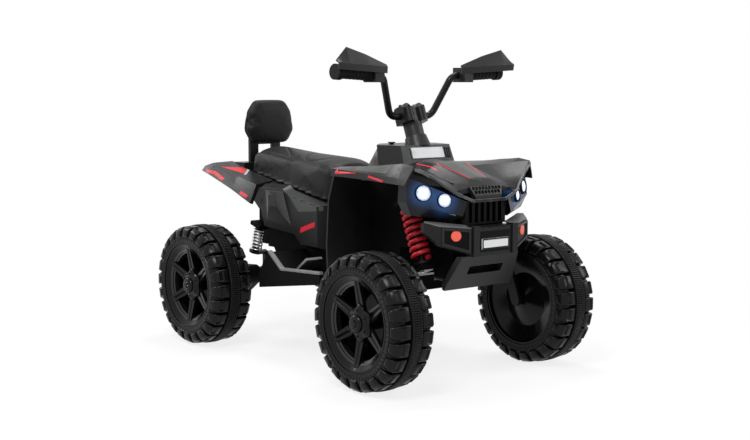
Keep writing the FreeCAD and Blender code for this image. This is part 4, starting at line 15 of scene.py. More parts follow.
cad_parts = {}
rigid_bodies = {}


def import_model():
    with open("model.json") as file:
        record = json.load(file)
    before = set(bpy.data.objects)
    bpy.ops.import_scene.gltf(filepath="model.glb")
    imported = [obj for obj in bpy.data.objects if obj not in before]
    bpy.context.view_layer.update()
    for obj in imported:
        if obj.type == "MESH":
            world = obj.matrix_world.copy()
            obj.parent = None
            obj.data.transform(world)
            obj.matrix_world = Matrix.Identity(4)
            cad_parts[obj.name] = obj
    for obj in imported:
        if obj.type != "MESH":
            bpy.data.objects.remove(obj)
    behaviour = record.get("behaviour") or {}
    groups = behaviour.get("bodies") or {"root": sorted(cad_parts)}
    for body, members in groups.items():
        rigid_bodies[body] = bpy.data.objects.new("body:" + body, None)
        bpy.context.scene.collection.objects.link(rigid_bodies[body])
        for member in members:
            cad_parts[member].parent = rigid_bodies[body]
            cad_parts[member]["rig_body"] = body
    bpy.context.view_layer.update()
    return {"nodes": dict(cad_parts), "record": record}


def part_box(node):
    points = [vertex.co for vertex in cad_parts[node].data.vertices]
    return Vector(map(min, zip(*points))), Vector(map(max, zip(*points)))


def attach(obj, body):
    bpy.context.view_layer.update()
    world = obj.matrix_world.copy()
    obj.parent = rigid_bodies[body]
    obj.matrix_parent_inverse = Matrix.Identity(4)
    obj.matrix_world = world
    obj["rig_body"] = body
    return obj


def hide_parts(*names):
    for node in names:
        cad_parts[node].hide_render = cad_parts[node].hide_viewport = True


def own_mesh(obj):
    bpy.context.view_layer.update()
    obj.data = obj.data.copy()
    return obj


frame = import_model()
SLOTS = {row["node"]: row["material_slot"] for row in frame["record"]["subparts"]}
LOG = logging.getLogger("quad_bike")
MM = 0.001
JOIN = 0.000004
LEVEL_ANGLE = 0.4
SHARP_LEAST = 30.0
SMOOTH_MOST = 40.0
EDGE_SHARE = 0.3
BOLT_SIDES = 6
BOLT_EDGE = 0.2
Colour = tuple[float, float, float]
Spot = tuple[float, float, float]
Flat = tuple[float, float]
Value = Union["Sock", float, int]


class Side(Enum):
    """Side of the vehicle, as its sign along X."""

    RIGHT = -1
    LEFT = 1

    @property
    def word(self) -> str:
        """The side's name in the nodes' names."""
        return self.name.lower()

    def turn(self, spot: Spot) -> Vector:
        """A place in millimetres on the right side, put on this side in metres."""
        return Vector((-self.value * spot[0], spot[1], spot[2])) * MM


class End(Enum):
    """End of the vehicle, as its sign along Y."""

    FRONT = -1
    REAR = 1


class View(Enum):
    """Where a film is pressed on from."""

    TOP = "top"
    SIDE = "side"


# Shader building
class Sock:
    """A shader socket that takes part in sums."""

    def __init__(self, nodes: "Nodes", socket: bpy.types.NodeSocket) -> None:
        """Keep the socket and the tree it belongs to."""
        self.nodes = nodes
        self.socket = socket

    def math(self, operation: str, *terms: Value) -> "Sock":
        """Add one Math node.

        Args:
            operation: Name of the Math node's operation.
            terms: Its inputs in order.

        Returns:
            The node's result.
        """
        node = self.nodes.add("ShaderNodeMath", {"operation": operation}, dict(enumerate(terms)))
        return Sock(self.nodes, node.outputs[0])

    def __add__(self, other: Value) -> "Sock":
        """Sum."""
        return self.math("ADD", self, other)

    def __radd__(self, other: Value) -> "Sock":
        """Sum with a number first."""
        return self.math("ADD", other, self)

    def __sub__(self, other: Value) -> "Sock":
        """Difference."""
        return self.math("SUBTRACT", self, other)

    def __rsub__(self, other: Value) -> "Sock":
        """Difference from a number."""
        return self.math("SUBTRACT", other, self)

    def __mul__(self, other: Value) -> "Sock":
        """Product."""
        return self.math("MULTIPLY", self, other)

    def __rmul__(self, other: Value) -> "Sock":
        """Product with a number first."""
        return self.math("MULTIPLY", other, self)

    def __abs__(self) -> "Sock":
        """Size without sign."""
        return self.math("ABSOLUTE", self)

    def sine(self) -> "Sock":
        """Sine of the value."""
        return self.math("SINE", self)

    def least(self, other: Value) -> "Sock":
        """The smaller of two values."""
        return self.math("MINIMUM", self, other)

    def most(self, other: Value) -> "Sock":
        """The larger of two values."""
        return self.math("MAXIMUM", self, other)

    def fade(self, low: float, high: float) -> "Sock":
        """Smooth step from 0 at low to 1 at high."""
        node = self.nodes.add("ShaderNodeMapRange", {"interpolation_type": "SMOOTHSTEP"},
                              {0: self, 1: low, 2: high, 3: 0.0, 4: 1.0})
        return Sock(self.nodes, node.outputs[0])


class Nodes:
    """Adds nodes to one tree."""

    def __init__(self, tree: bpy.types.NodeTree) -> None:
        """Start with an empty tree."""
        self.tree = tree
        tree.nodes.clear()

    def add(self, kind: str, settings: dict | None = None, sockets: dict | None = None) -> bpy.types.Node:
        """Add a node.

        Args:
            kind: Type name of the node.
            settings: Properties of the node, set first.
            sockets: Values or links of its inputs, by name or place.

        Returns:
            The node.
        """
        node = self.tree.nodes.new(kind)
        for key, value in (settings or {}).items():
            setattr(node, key, value)
        for key, value in (sockets or {}).items():
            self.feed(node.inputs[key], value)
        return node

    def feed(self, socket: bpy.types.NodeSocket, value: object) -> None:
        """Link a socket to another one, or set its value.

        Args:
            socket: Input of a node.
            value: A socket to link, or a plain value.
        """
        source = value.socket if isinstance(value, Sock) else value
        if isinstance(source, bpy.types.NodeSocket):
            self.tree.links.new(source, socket)
        elif isinstance(source, tuple) and len(source) == 3 and socket.type == "RGBA":
            socket.default_value = (*source, 1.0)
        else:
            socket.default_value = source

    def open_rays(self) -> Sock:
        """1 for the rays that show the background: from the camera, off gloss or through glass."""
        rays = self.add("ShaderNodeLightPath").outputs
        seen = Sock(self, rays["Is Camera Ray"]).most(Sock(self, rays["Is Glossy Ray"]))
        return seen.most(Sock(self, rays["Is Transmission Ray"]))


class Shade(Nodes):
    """The nodes of one material round a principled shader."""

    mix_inputs = (6, 7)
    mix_output = 2

    def __init__(self, name: str) -> None:
        """Start a material with its shader, its output and Object coordinates.

        Args:
            name: Name of the material.
        """
        self.material = bpy.data.materials.new(name)
        self.material.use_nodes = True
        super().__init__(self.material.node_tree)
        self.shader = self.add("ShaderNodeBsdfPrincipled")
        self.output = self.add("ShaderNodeOutputMaterial", {}, {"Surface": self.shader.outputs[0]})
        self.place = self.add("ShaderNodeTexCoord").outputs["Object"]

    def noise(self, scale: float, detail: float = 3.0, stretch: Colour = (1.0, 1.0, 1.0)) -> Sock:
        """Cloudy pattern from 0 to 1.

        Args:
            scale: Patches in a metre.
            detail: Octaves of finer patches.
            stretch: Scale of each axis.

        Returns:
            The pattern's value.
        """
        place = self.add("ShaderNodeMapping", {}, {"Vector": self.place, "Scale": stretch}).outputs[0]
        node = self.add("ShaderNodeTexNoise", {}, {"Vector": place, "Scale": scale, "Detail": detail})
        return Sock(self, node.outputs[0])

    def cells(self, scale: float) -> Sock:
        """Distance to the nearest of scattered points, scale of them in a metre."""
        node = self.add("ShaderNodeTexVoronoi", {}, {"Vector": self.place, "Scale": scale})
        return Sock(self, node.outputs["Distance"])

    def axes(self) -> tuple[Sock, Sock, Sock]:
        """The three Object coordinates in metres."""
        node = self.add("ShaderNodeSeparateXYZ", {}, {0: self.place})
        return Sock(self, node.outputs[0]), Sock(self, node.outputs[1]), Sock(self, node.outputs[2])

    def away(self, spot: Spot) -> Sock:
        """Distance in metres from a place."""
        node = self.add("ShaderNodeVectorMath", {"operation": "DISTANCE"}, {0: self.place, 1: spot})
        return Sock(self, node.outputs["Value"])

    def mark(self, name: str) -> Sock:
        """A number that the mesh itself carries."""
        return Sock(self, self.add("ShaderNodeAttribute", {"attribute_name": name}).outputs["Fac"])

    def mix(self, share: Value, first: object, second: object) -> bpy.types.NodeSocket:
        """Blend of two colours."""
        a, b = self.mix_inputs
        node = self.add("ShaderNodeMix", {"data_type": "RGBA"}, {0: share, a: first, b: second})
        return node.outputs[self.mix_output]

    def relief(self, height: Sock, depth: float) -> None:
        """Bump on the shader, depth in metres between the height's 0 and 1."""
        bump = self.add("ShaderNodeBump", {}, {"Height": height, "Distance": depth, "Strength": 1.0})
        self.feed(self.shader.inputs["Normal"], bump.outputs[0])

    def dress(self, **inputs: object) -> bpy.types.Material:
        """Fill the shader's inputs, with _ for a space in their names, and give the material.

        Args:
            inputs: Values or links of the shader's inputs.

        Returns:
            The material.
        """
        for key, value in inputs.items():
            self.feed(self.shader.inputs[key.replace("_", " ")], value)
        return self.material


def tint(colour: Colour, factor: float) -> Colour:
    """A colour made lighter or darker."""
    return colour[0] * factor, colour[1] * factor, colour[2] * factor


def tints(colour: Colour, factors: Flat) -> tuple[Colour, Colour]:
    """The two ends of a colour's range."""
    return tint(colour, factors[0]), tint(colour, factors[1])


# Finishes: a pattern is its patches in a metre and its octaves, a fade the values that become 0 and 1
@dataclass(frozen=True)
class Moulded:
    """Moulded plastic or rubber with a fine grain, faint clouds and paler edges, partly wear and partly a painted
    highlight.
    """

    name: str
    colour: Colour
    rough: float = 0.38
    grain: float = 900.0
    grain_depth: float = 0.00010
    coat: float = 0.0
    wear: float = 0.5
    shine: float = 0.3
    clouds: Flat = (9.0, 4.0)
    cloud_tints: Flat = (0.8, 1.25)
    cloud_rough: float = 0.08
    scuffs: Flat = (60.0, 8.0)
    scuff_fade: Flat = (0.56, 0.78)
    scuff_share: float = 0.25
    scuff_tint: float = 1.9
    scuff_rough: float = 0.14
    worn: Flat = (45.0, 5.0)
    worn_fade: Flat = (0.3, 0.7)
    worn_tint: float = 3.2
    coat_rough: float = 0.12

    def material(self) -> bpy.types.Material:
        """Build the nodes."""
        shade = Shade(self.name)
        cloud = shade.noise(*self.clouds)
        scuff = shade.noise(*self.scuffs).fade(*self.scuff_fade)
        # Paler rounded edges: partly wear, partly a painted highlight along them
        worn = shade.mark("edge") * self.wear * shade.noise(*self.worn).fade(*self.worn_fade)
        base = shade.mix(cloud, *tints(self.colour, self.cloud_tints))
        base = shade.mix(scuff * self.scuff_share, base, tint(self.colour, self.scuff_tint))
        base = shade.mix(worn, base, tint(self.colour, self.worn_tint))
        shade.relief(shade.noise(self.grain, 2.0), self.grain_depth)
        return shade.dress(Base_Color=base,
                           Roughness=self.rough + scuff * self.scuff_rough + (cloud - 0.5) * self.cloud_rough,
                           Coat_Weight=self.coat, Coat_Roughness=self.coat_rough, Specular_IOR_Level=self.shine)


@dataclass(frozen=True)
class Metal:
    """Metal, bare or painted, with fine scratches along one axis and paler rounded edges, partly wear and partly a
    painted highlight.
    """

    name: str
    colour: Colour
    rough: float = 0.3
    metallic: float = 1.0
    stretch: Colour = (1.0, 1.0, 14.0)
    shine: float = 0.5
    scratches: Flat = (260.0, 4.0)
    scratch_depth: float = 0.00005
    scratch_rough: float = 0.16
    stains: Flat = (24.0, 6.0)
    stain_fade: Flat = (0.45, 0.8)
    stain_share: float = 0.5
    stain_tint: float = 0.6
    stain_rough: float = 0.1
    edge_share: float = 0.4
    edge_tint: float = 1.5

    def material(self) -> bpy.types.Material:
        """Build the nodes."""
        shade = Shade(self.name)
        scratch = shade.noise(*self.scratches, self.stretch)
        stain = shade.noise(*self.stains).fade(*self.stain_fade)
        base = shade.mix(stain * self.stain_share, self.colour, tint(self.colour, self.stain_tint))
        # Paler rounded edges: partly wear, partly a painted highlight along them
        base = shade.mix(shade.mark("edge") * self.edge_share, base, tint(self.colour, self.edge_tint))
        shade.relief(scratch, self.scratch_depth)
        return shade.dress(Base_Color=base, Metallic=self.metallic, Specular_IOR_Level=self.shine,
                           Roughness=self.rough + scratch * self.scratch_rough + stain * self.stain_rough)


@dataclass(frozen=True)
class Leatherette:
    """Padded vinyl with a pebbled grain, soft creases and fields of diamond quilting, with painted shade darkening its
    seam grooves and quilting lines.
    """

    name: str
    colour: Colour
    diamond: float = 9.0 * MM
    rough: float = 0.4
    pebbles: float = 620.0
    pebble_rise: Flat = (0.1, 0.8)
    pebble_fade: Flat = (0.35, 0.75)
    pebble_share: float = 0.45
    pebble_tint: float = 0.45
    creases: Flat = (70.0, 6.0)
    crease_share: float = 0.7
    clouds: Flat = (11.0, 3.0)
    cloud_tints: Flat = (0.8, 1.3)
    cloud_rough: float = 0.12
    pillow_fade: Flat = (0.0, 0.8)
    line_fade: Flat = (0.0, 0.3)
    line_share: float = 0.55
    groove_share: float = 0.75
    groove_tint: float = 0.35
    groove_rough: float = 0.15
    grain_share: float = 0.16
    depth: float = 0.0010
    sheen: float = 0.04
    shine: float = 0.17

    def material(self) -> bpy.types.Material:
        """Build the nodes."""
        shade = Shade(self.name)
        pebble = shade.cells(self.pebbles)
        crease = shade.noise(*self.creases)
        cloud = shade.noise(*self.clouds)
        groove = shade.mark("seam")
        across, along, _ = shade.axes()
        turns = math.pi / (self.diamond * math.sqrt(2.0))
        pillow = abs(((across + along) * turns).sine()).least(abs(((across - along) * turns).sine()))
        quilt = pillow.fade(*self.pillow_fade) * shade.mark("quilt")
        line = (1 - pillow.fade(*self.line_fade)) * shade.mark("quilt")
        base = shade.mix(cloud, *tints(self.colour, self.cloud_tints))
        base = shade.mix(pebble.fade(*self.pebble_fade) * self.pebble_share, base, tint(self.colour, self.pebble_tint))
        # Painted shade: darker in the seam grooves and along the quilting lines
        base = shade.mix((groove * self.groove_share).most(line * self.line_share), base,
                         tint(self.colour, self.groove_tint))
        grain = (1 - pebble.fade(*self.pebble_rise) + crease * self.crease_share) * self.grain_share
        shade.relief(grain + quilt, self.depth)
        return shade.dress(Base_Color=base, Sheen_Weight=self.sheen, Specular_IOR_Level=self.shine,
                           Roughness=self.rough + cloud * self.cloud_rough + groove * self.groove_rough)


@dataclass(frozen=True)
class Glow:
    """Lit lamp glass, white in the middle and bluish towards its rim and between its facets."""

    name: str
    colour: Colour
    strength: float
    lamps: tuple[Spot, ...]
    core: float = 3.0 * MM
    rim: float = 19.0 * MM
    rim_blue: float = 0.5
    rough: float = 0.12
    facets: float = 210.0
    facet_fade: Flat = (0.2, 0.65)
    facet_blue: float = 0.34
    facet_depth: float = 0.0004
    facet_rough: float = 0.1

    def material(self) -> bpy.types.Material:
        """Build the nodes."""
        shade = Shade(self.name)
        nearest = shade.away(self.lamps[0])
        for lamp in self.lamps[1:]:
            nearest = nearest.least(shade.away(lamp))
        outward = nearest.fade(self.core, self.rim)
        facet = shade.cells(self.facets).fade(*self.facet_fade)
        blue = outward * self.rim_blue + facet * self.facet_blue
        light = shade.mix(blue, (1.0, 1.0, 1.0), self.colour)
        shade.relief(facet, self.facet_depth)
        return shade.dress(Base_Color=light, Roughness=self.rough + facet * self.facet_rough, Emission_Color=light,
                           Emission_Strength=self.strength)


@dataclass(frozen=True)
class LampTray:
    """Dark gloss plastic with a painted glow of the lamps' light round each lamp."""

    name: str
    colour: Colour
    glow: Colour
    lamps: tuple[Spot, ...]
    reach: float
    core: float = 0.012
    rough: float = 0.2
    shine: float = 0.25
    clouds: Flat = (14.0, 4.0)
    cloud_tints: Flat = (0.7, 1.3)
    cloud_rough: float = 0.1
    grain: Flat = (700.0, 2.0)
    grain_depth: float = 0.00006

    def material(self) -> bpy.types.Material:
        """Build the nodes."""
        shade = Shade(self.name)
        # Painted glow: emission that fades out from each lamp over the housing
        painted_glow_share: Value = 0.0
        for lamp in self.lamps:
            near = 1 - shade.away(lamp).fade(self.core, self.reach)
            painted_glow_share = near * near * near + painted_glow_share
        cloud = shade.noise(*self.clouds)
        base = shade.mix(cloud, *tints(self.colour, self.cloud_tints))
        shade.relief(shade.noise(*self.grain), self.grain_depth)
        return shade.dress(Base_Color=base, Roughness=self.rough + cloud * self.cloud_rough,
                           Specular_IOR_Level=self.shine,
                           Emission_Color=shade.mix(painted_glow_share, (0.0, 0.0, 0.0), self.glow), Emission_Strength=1.0)


@dataclass(frozen=True)
class Prism:
    """Coloured reflector moulded in small prisms, with a painted glow as if it sent light back."""

    name: str
    colour: Colour
    pitch: float = 4.5 * MM
    rib_fade: Flat = (-0.8, 0.8)
    rib_tint: float = 0.7
    rib_depth: float = 0.0003
    tones: Flat = (90.0, 3.0)
    tone_rough: float = 0.12
    rough: float = 0.12
    glow: float = 0.25

    def material(self) -> bpy.types.Material:
        """Build the nodes."""
        shade = Shade(self.name)
        across, _, up = shade.axes()
        turns = 2 * math.pi / self.pitch
        ribs = (across * turns).sine() * (up * turns).sine()
        tone = shade.noise(*self.tones)
        base = shade.mix(ribs.fade(*self.rib_fade), tint(self.colour, self.rib_tint), self.colour)
        shade.relief(ribs, self.rib_depth)
        # The emission is a painted glow; the reflector is no lamp
        return shade.dress(Base_Color=base, Roughness=self.rough + tone * self.tone_rough, Emission_Color=base,
                           Emission_Strength=self.glow)


@dataclass(frozen=True)
class Film:
    """Printed vinyl film: an even colour with fine flecks and a satin surface."""

    name: str
    colour: Colour
    rough: float = 0.36
    flecks: float = 0.25
    fleck: Flat = (340.0, 3.0)
    fleck_fade: Flat = (0.5, 0.7)
    fleck_tint: float = 0.6
    fleck_rough: float = 0.1
    clouds: Flat = (18.0, 5.0)
    cloud_tints: Flat = (0.86, 1.1)
    grain: Flat = (520.0, 2.0)
    grain_depth: float = 0.00004
    shine: float = 0.3

    def material(self) -> bpy.types.Material:
        """Build the nodes."""
        shade = Shade(self.name)
        fleck = shade.noise(*self.fleck).fade(*self.fleck_fade)
        cloud = shade.noise(*self.clouds)
        base = shade.mix(cloud, *tints(self.colour, self.cloud_tints))
        base = shade.mix(fleck * self.flecks, base, tint(self.colour, self.fleck_tint))
        shade.relief(shade.noise(*self.grain), self.grain_depth)
        return shade.dress(Base_Color=base, Roughness=self.rough + fleck * self.fleck_rough,
                           Specular_IOR_Level=self.shine)


Finish = Union[Moulded, Metal, Leatherette, Glow, LampTray, Prism, Film]

LAMP_PLACES = (((-147.7, -389.9, 421.8), 16.5), ((-106.9, -412.2, 405.4), 14.5))
LAMP_CENTRES = tuple(tuple(side.turn(spot)) for side in Side for spot, _ in LAMP_PLACES)
BODY = Moulded("satin_black_plastic", (0.0085, 0.0088, 0.0095), rough=0.3, grain_depth=0.00007, shine=0.2)
GLOSS = Moulded("gloss_black_plastic", (0.006, 0.0062, 0.0068), rough=0.2, grain_depth=0.00003, coat=0.06, shine=0.16)
DEEP = Moulded("deep_black_plastic", (0.0028, 0.0029, 0.0032), rough=0.34, grain_depth=0.00005, shine=0.08)
TUB = Moulded("matt_black_plastic", (0.0022, 0.0022, 0.0024), rough=0.56, grain_depth=0.00018, shine=0.05)
GREY = Moulded("dark_grey_plastic", (0.013, 0.0133, 0.0142), rough=0.36, shine=0.24)
BROW = Moulded("mid_grey_plastic", (0.11, 0.113, 0.118), rough=0.36, wear=0.1, shine=0.3)
SILL = Moulded("grey_trim_plastic", (0.15, 0.153, 0.158), rough=0.4, shine=0.3)
PEDAL = Moulded("light_grey_plastic", (0.2, 0.205, 0.21), rough=0.45)
TRIM = Metal("silver_trim_plastic", (0.42, 0.43, 0.44), rough=0.34, metallic=0.4, stretch=(14.0, 1.0, 1.0))
GRIP = Moulded("grip_rubber", (0.006, 0.006, 0.0063), rough=0.6, grain=600.0, grain_depth=0.0003, shine=0.14)
TYRE = Moulded("tyre_plastic", (0.0042, 0.0043, 0.0047), rough=0.25, grain=700.0, grain_depth=0.00012, shine=0.15)
BAND = Moulded("traction_rubber", (0.0055, 0.0054, 0.0054), rough=0.42, grain=500.0, grain_depth=0.0002, shine=0.14)
RIM = Moulded("gloss_rim_plastic", (0.0032, 0.0032, 0.0035), rough=0.16, grain_depth=0.00002, coat=0.06, shine=0.14)
LIP = Moulded("rim_step_plastic", (0.006, 0.006, 0.0066), rough=0.12, grain_depth=0.00002, coat=0.3, shine=0.3)
BLACK_STEEL = Metal("black_painted_steel", (0.005, 0.005, 0.0054), rough=0.22, metallic=0.0, shine=0.16)
BRIGHT_STEEL = Metal("zinc_plated_steel", (0.56, 0.57, 0.58), rough=0.24)
RED_STEEL = Metal("red_painted_spring", (0.52, 0.012, 0.024), rough=0.24, metallic=0.0, shine=0.35)
CASE = Moulded("battery_case", (0.03, 0.032, 0.036), rough=0.45)
VINYL = Leatherette("black_leatherette", (0.0042, 0.0043, 0.005))
THREAD = Film("seam_thread", (0.05, 0.052, 0.056), rough=0.7)
LAMP = Glow("lamp_glass", (0.12, 0.24, 0.56), 1.0, LAMP_CENTRES)
# The tray's bluish emission round each lamp is a painted glow of the lamps' light
TRAY = LampTray("lamp_tray", (0.003, 0.0038, 0.006), (0.014, 0.055, 0.17), LAMP_CENTRES, 0.056)
REFLECTOR = Prism("red_reflector", (0.84, 0.11, 0.06))
PLATE = Film("white_plate", (0.78, 0.79, 0.8), flecks=0.08)
RED_FILM = Film("red_film", (0.6, 0.01, 0.024))
MOSS_FILM = Film("grey_green_film", (0.05, 0.056, 0.05), flecks=0.5)
# Not a print: a pale strip of painted highlight along the rear fender's inner edge
EDGE_HIGHLIGHT_FILM = Film("pale_film", (0.4, 0.41, 0.42))

CAD_FINISHES: dict[str, Finish] = {
    "chassis_tub": TUB, "hood": BODY, "dash_console": GREY, "dash_panel": TRIM, "steering_boot": GREY,
    "front_fender_right": BODY, "front_fender_left": BODY, "front_fascia": DEEP, "nose_grille": GREY,
    "headlight_housings": TRAY, "headlamp_lenses": LAMP, "front_bumper": BODY, "bumper_reflectors": REFLECTOR,
    "number_plate": PLATE, "bull_bar": GREY, "side_panels": BODY, "seat_base": BODY, "rear_fender_right": BODY,
    "rear_fender_left": BODY, "footboard_right": TUB, "footboard_left": TUB, "footrest_trims": SILL,
    "hand_guards": GREY, "handlebar_clamp": BODY, "handlebar_tube": BLACK_STEEL, "steering_column": GREY,
    "grips": GRIP, "accelerator_pedal": PEDAL, "backrest_frame": BODY, "control_box": TUB, "battery": CASE,
    "gearboxes": TUB, "motors": BRIGHT_STEEL, "front_axle_beam": BLACK_STEEL, "knuckle_right": BLACK_STEEL,
    "knuckle_left": BLACK_STEEL, "tie_rod": BLACK_STEEL, "kingpins": BRIGHT_STEEL, "front_shock_bodies": BLACK_STEEL,
    "front_shock_rods": BLACK_STEEL, "swing_arm": BLACK_STEEL, "rear_axle_rod": BRIGHT_STEEL,
    "power_button": GLOSS, "direction_switch": GLOSS,
    "front_right_rim": RIM, "front_left_rim": RIM, "rear_right_rim": RIM, "rear_left_rim": RIM,
}


class Paints:
    """Keeps one material for each finish."""

    made: dict[str, bpy.types.Material] = {}

    @classmethod
    def of(cls, finish: Finish) -> bpy.types.Material:
        """The finish's material, built on its first use.

        Args:
            finish: The finish.

        Returns:
            Its material.
        """
        if finish.name not in cls.made:
            cls.made[finish.name] = finish.material()
        return cls.made[finish.name]


# Mesh helpers
def node_body(node: str) -> str:
    """Body that a node rides on."""
    return frame["nodes"][node]["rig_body"]


def merged(node: str) -> bmesh.types.BMesh:
    """A joined copy of a node's mesh.

    Args:
        node: Name of the node.

    Returns:
        The copy, whose points are merged.
    """
    mesh = bmesh.new()
    mesh.from_mesh(frame["nodes"][node].data)
    bmesh.ops.remove_doubles(mesh, verts=mesh.verts, dist=JOIN)
    return mesh


def surface(node: str) -> BVHTree:
    """A node's surface, ready for rays.

    Args:
        node: Name of the node.

    Returns:
        The search tree of its faces.
    """
    mesh = merged(node)
    tree = BVHTree.FromBMesh(mesh)
    mesh.free()
    return tree


def softened(node: str, width: float, sharp: float) -> bmesh.types.BMesh:
    """A node's mesh with its flat faces joined and its edges rounded.

    Args:
        node: Name of the node.
        width: Width of the rounding in metres.
        sharp: Least angle in degrees of an edge that is rounded.

    Returns:
        The mesh, with the rounded faces marked in its edge layer.
    """
    mesh = merged(node)
    bmesh.ops.dissolve_limit(mesh, angle_limit=math.radians(LEVEL_ANGLE), verts=mesh.verts, edges=mesh.edges)
    edges = [edge for edge in mesh.edges
             if edge.is_manifold and edge.calc_face_angle(0.0) > math.radians(sharp)]
    layer = mesh.faces.layers.float.new("edge")
    rounded = bmesh.ops.bevel(mesh, geom=edges, offset=width, offset_type="OFFSET", segments=2, profile=0.5,
                              affect="EDGES", clamp_overlap=True, material=-1)
    for face in rounded["faces"]:
        face[layer] = 1.0
    return mesh


def deliver(mesh: bmesh.types.BMesh, name: str, body: str, finish: Finish,
            stands_for: Sequence[str] = (), smooth: float = SMOOTH_MOST) -> bpy.types.Object:
    """Make a finished piece of a mesh and give it to the frame.

    Args:
        mesh: The shape, in place, freed here.
        name: Name of the piece.
        body: Body that it rides on.
        finish: Its finish.
        stands_for: Nodes that it replaces.
        smooth: Greatest angle in degrees that is shaded smooth.

    Returns:
        The piece.
    """
    data = bpy.data.meshes.new(name)
    mesh.to_mesh(data)
    mesh.free()
    custom = data.attributes.get("custom_normal")
    if custom:
        data.attributes.remove(custom)
    data.shade_smooth()
    data.set_sharp_from_angle(angle=math.radians(smooth))
    data.materials.clear()
    data.materials.append(Paints.of(finish))
    piece = bpy.data.objects.new(name, data)
    bpy.context.scene.collection.objects.link(piece)
    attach(piece, body)
    if stands_for:
        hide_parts(*stands_for)
    LOG.info("%s: %d faces on %s", name, len(data.polygons), body)
    return piece


def fit(mesh: bmesh.types.BMesh, name: str, node: str, finish: Finish) -> bpy.types.Object:
    """Close a small piece, turn its faces outwards and fix it to the node that carries it.

    Args:
        mesh: The shape, in place, freed here.
        name: Name of the piece.
        node: Node that carries it.
        finish: Its finish.

    Returns:
        The piece.
    """
    bmesh.ops.remove_doubles(mesh, verts=mesh.verts, dist=JOIN)
    bmesh.ops.recalc_face_normals(mesh, faces=mesh.faces)
    return deliver(mesh, name, node_body(node), finish)


def weigh_normals(piece: bpy.types.Object) -> None:
    """Keep large flat faces flat beside their rounded edges."""
    weighted = piece.modifiers.new("normals", "WEIGHTED_NORMAL")
    weighted.keep_sharp = True


def verts_of(geometry: Iterable) -> list:
    """The vertices among some geometry."""
    return [item for item in geometry if isinstance(item, bmesh.types.BMVert)]


def since(mesh: bmesh.types.BMesh, before: set) -> list:
    """The vertices, edges and faces of a mesh that came after a set of its vertices was taken.

    Args:
        mesh: The mesh.
        before: Its earlier vertices.

    Returns:
        The newer geometry.
    """
    verts = [vert for vert in mesh.verts if vert not in before]
    edges = {edge for vert in verts for edge in vert.link_edges}
    return verts + list(edges) + list({face for vert in verts for face in vert.link_faces})


def ring(mesh: bmesh.types.BMesh, outline: Sequence[Flat], steps: int) -> list:
    """Turn a closed outline of (x, radius) pairs in millimetres round the X axis.

    Args:
        mesh: Mesh that takes the ring.
        outline: Points of the section.
        steps: Steps of the turn.

    Returns:
        The ring's vertices.
    """
    before = set(mesh.verts)
    points = [mesh.verts.new((x * MM, 0.0, radius * MM)) for x, radius in outline]
    edges = [mesh.edges.new(pair) for pair in zip(points, points[1:] + points[:1])]
    bmesh.ops.spin(mesh, geom=points + edges, cent=(0, 0, 0), axis=(1, 0, 0), angle=2 * math.pi, steps=steps,
                   use_merge=True)
    return [vert for vert in mesh.verts if vert not in before]


def around(mesh: bmesh.types.BMesh, geometry: Iterable, count: int) -> None:
    """Copy geometry round the X axis.

    Args:
        mesh: Mesh that takes the copies.
        geometry: What is copied.
        count: How many there are in all.
    """
    bmesh.ops.spin(mesh, geom=list(geometry), cent=(0, 0, 0), axis=(1, 0, 0), angle=2 * math.pi * (count - 1) / count,
                   steps=count - 1, use_duplicate=True)


def sweep(mesh: bmesh.types.BMesh, route: Sequence[Vector], section: Sequence[Vector]) -> list:
    """Carry a flat section along a route.

    Args:
        mesh: Mesh that takes the strip.
        route: Places along the strip.
        section: Corners of the section, about a place.

    Returns:
        The strip's geometry.
    """
    before = set(mesh.verts)
    face = mesh.faces.new([mesh.verts.new(route[0] + corner) for corner in section])
    for here, there in zip(route, route[1:]):
        grown = bmesh.ops.extrude_face_region(mesh, geom=[face])["geom"]
        face = next(item for item in grown if isinstance(item, bmesh.types.BMFace))
        bmesh.ops.translate(mesh, vec=there - here, verts=face.verts)
    return since(mesh, before)


def blunt(mesh: bmesh.types.BMesh, geometry: Iterable, width: float, sharp: float = SHARP_LEAST) -> None:
    """Round the sharp edges among some geometry.

    Args:
        mesh: The mesh.
        geometry: Geometry whose edges are looked at.
        width: Width of the rounding in metres.
        sharp: Least angle in degrees of an edge that is rounded.
    """
    bmesh.ops.recalc_face_normals(mesh, faces=mesh.faces)
    edges = [item for item in geometry if isinstance(item, bmesh.types.BMEdge)
             and item.calc_face_angle(0.0) > math.radians(sharp)]
    bmesh.ops.bevel(mesh, geom=edges, offset=width, segments=2, profile=0.5, affect="EDGES", material=-1,
                    clamp_overlap=True)


def border(mesh: bmesh.types.BMesh, corners: Sequence[Vector], width: float, proud: float) -> None:
    """Raise a frame along the inside of a flat outline.

    Args:
        mesh: Mesh that takes the frame.
        corners: Corners of the outline, anticlockwise as seen from outside.
        width: Width of the frame.
        proud: Its height.
    """
    before = set(mesh.verts)
    face = mesh.faces.new([mesh.verts.new(corner) for corner in corners])
    face.normal_update()
    outward = face.normal.copy()
    sides = bmesh.ops.inset_region(mesh, faces=[face], thickness=width, use_even_offset=True,
                                   use_boundary=True)["faces"]
    bmesh.ops.delete(mesh, geom=[face], context="FACES_ONLY")
    grown = bmesh.ops.extrude_face_region(mesh, geom=sides)["geom"]
    bmesh.ops.translate(mesh, vec=outward * proud, verts=verts_of(grown))
    blunt(mesh, since(mesh, before), proud * EDGE_SHARE)


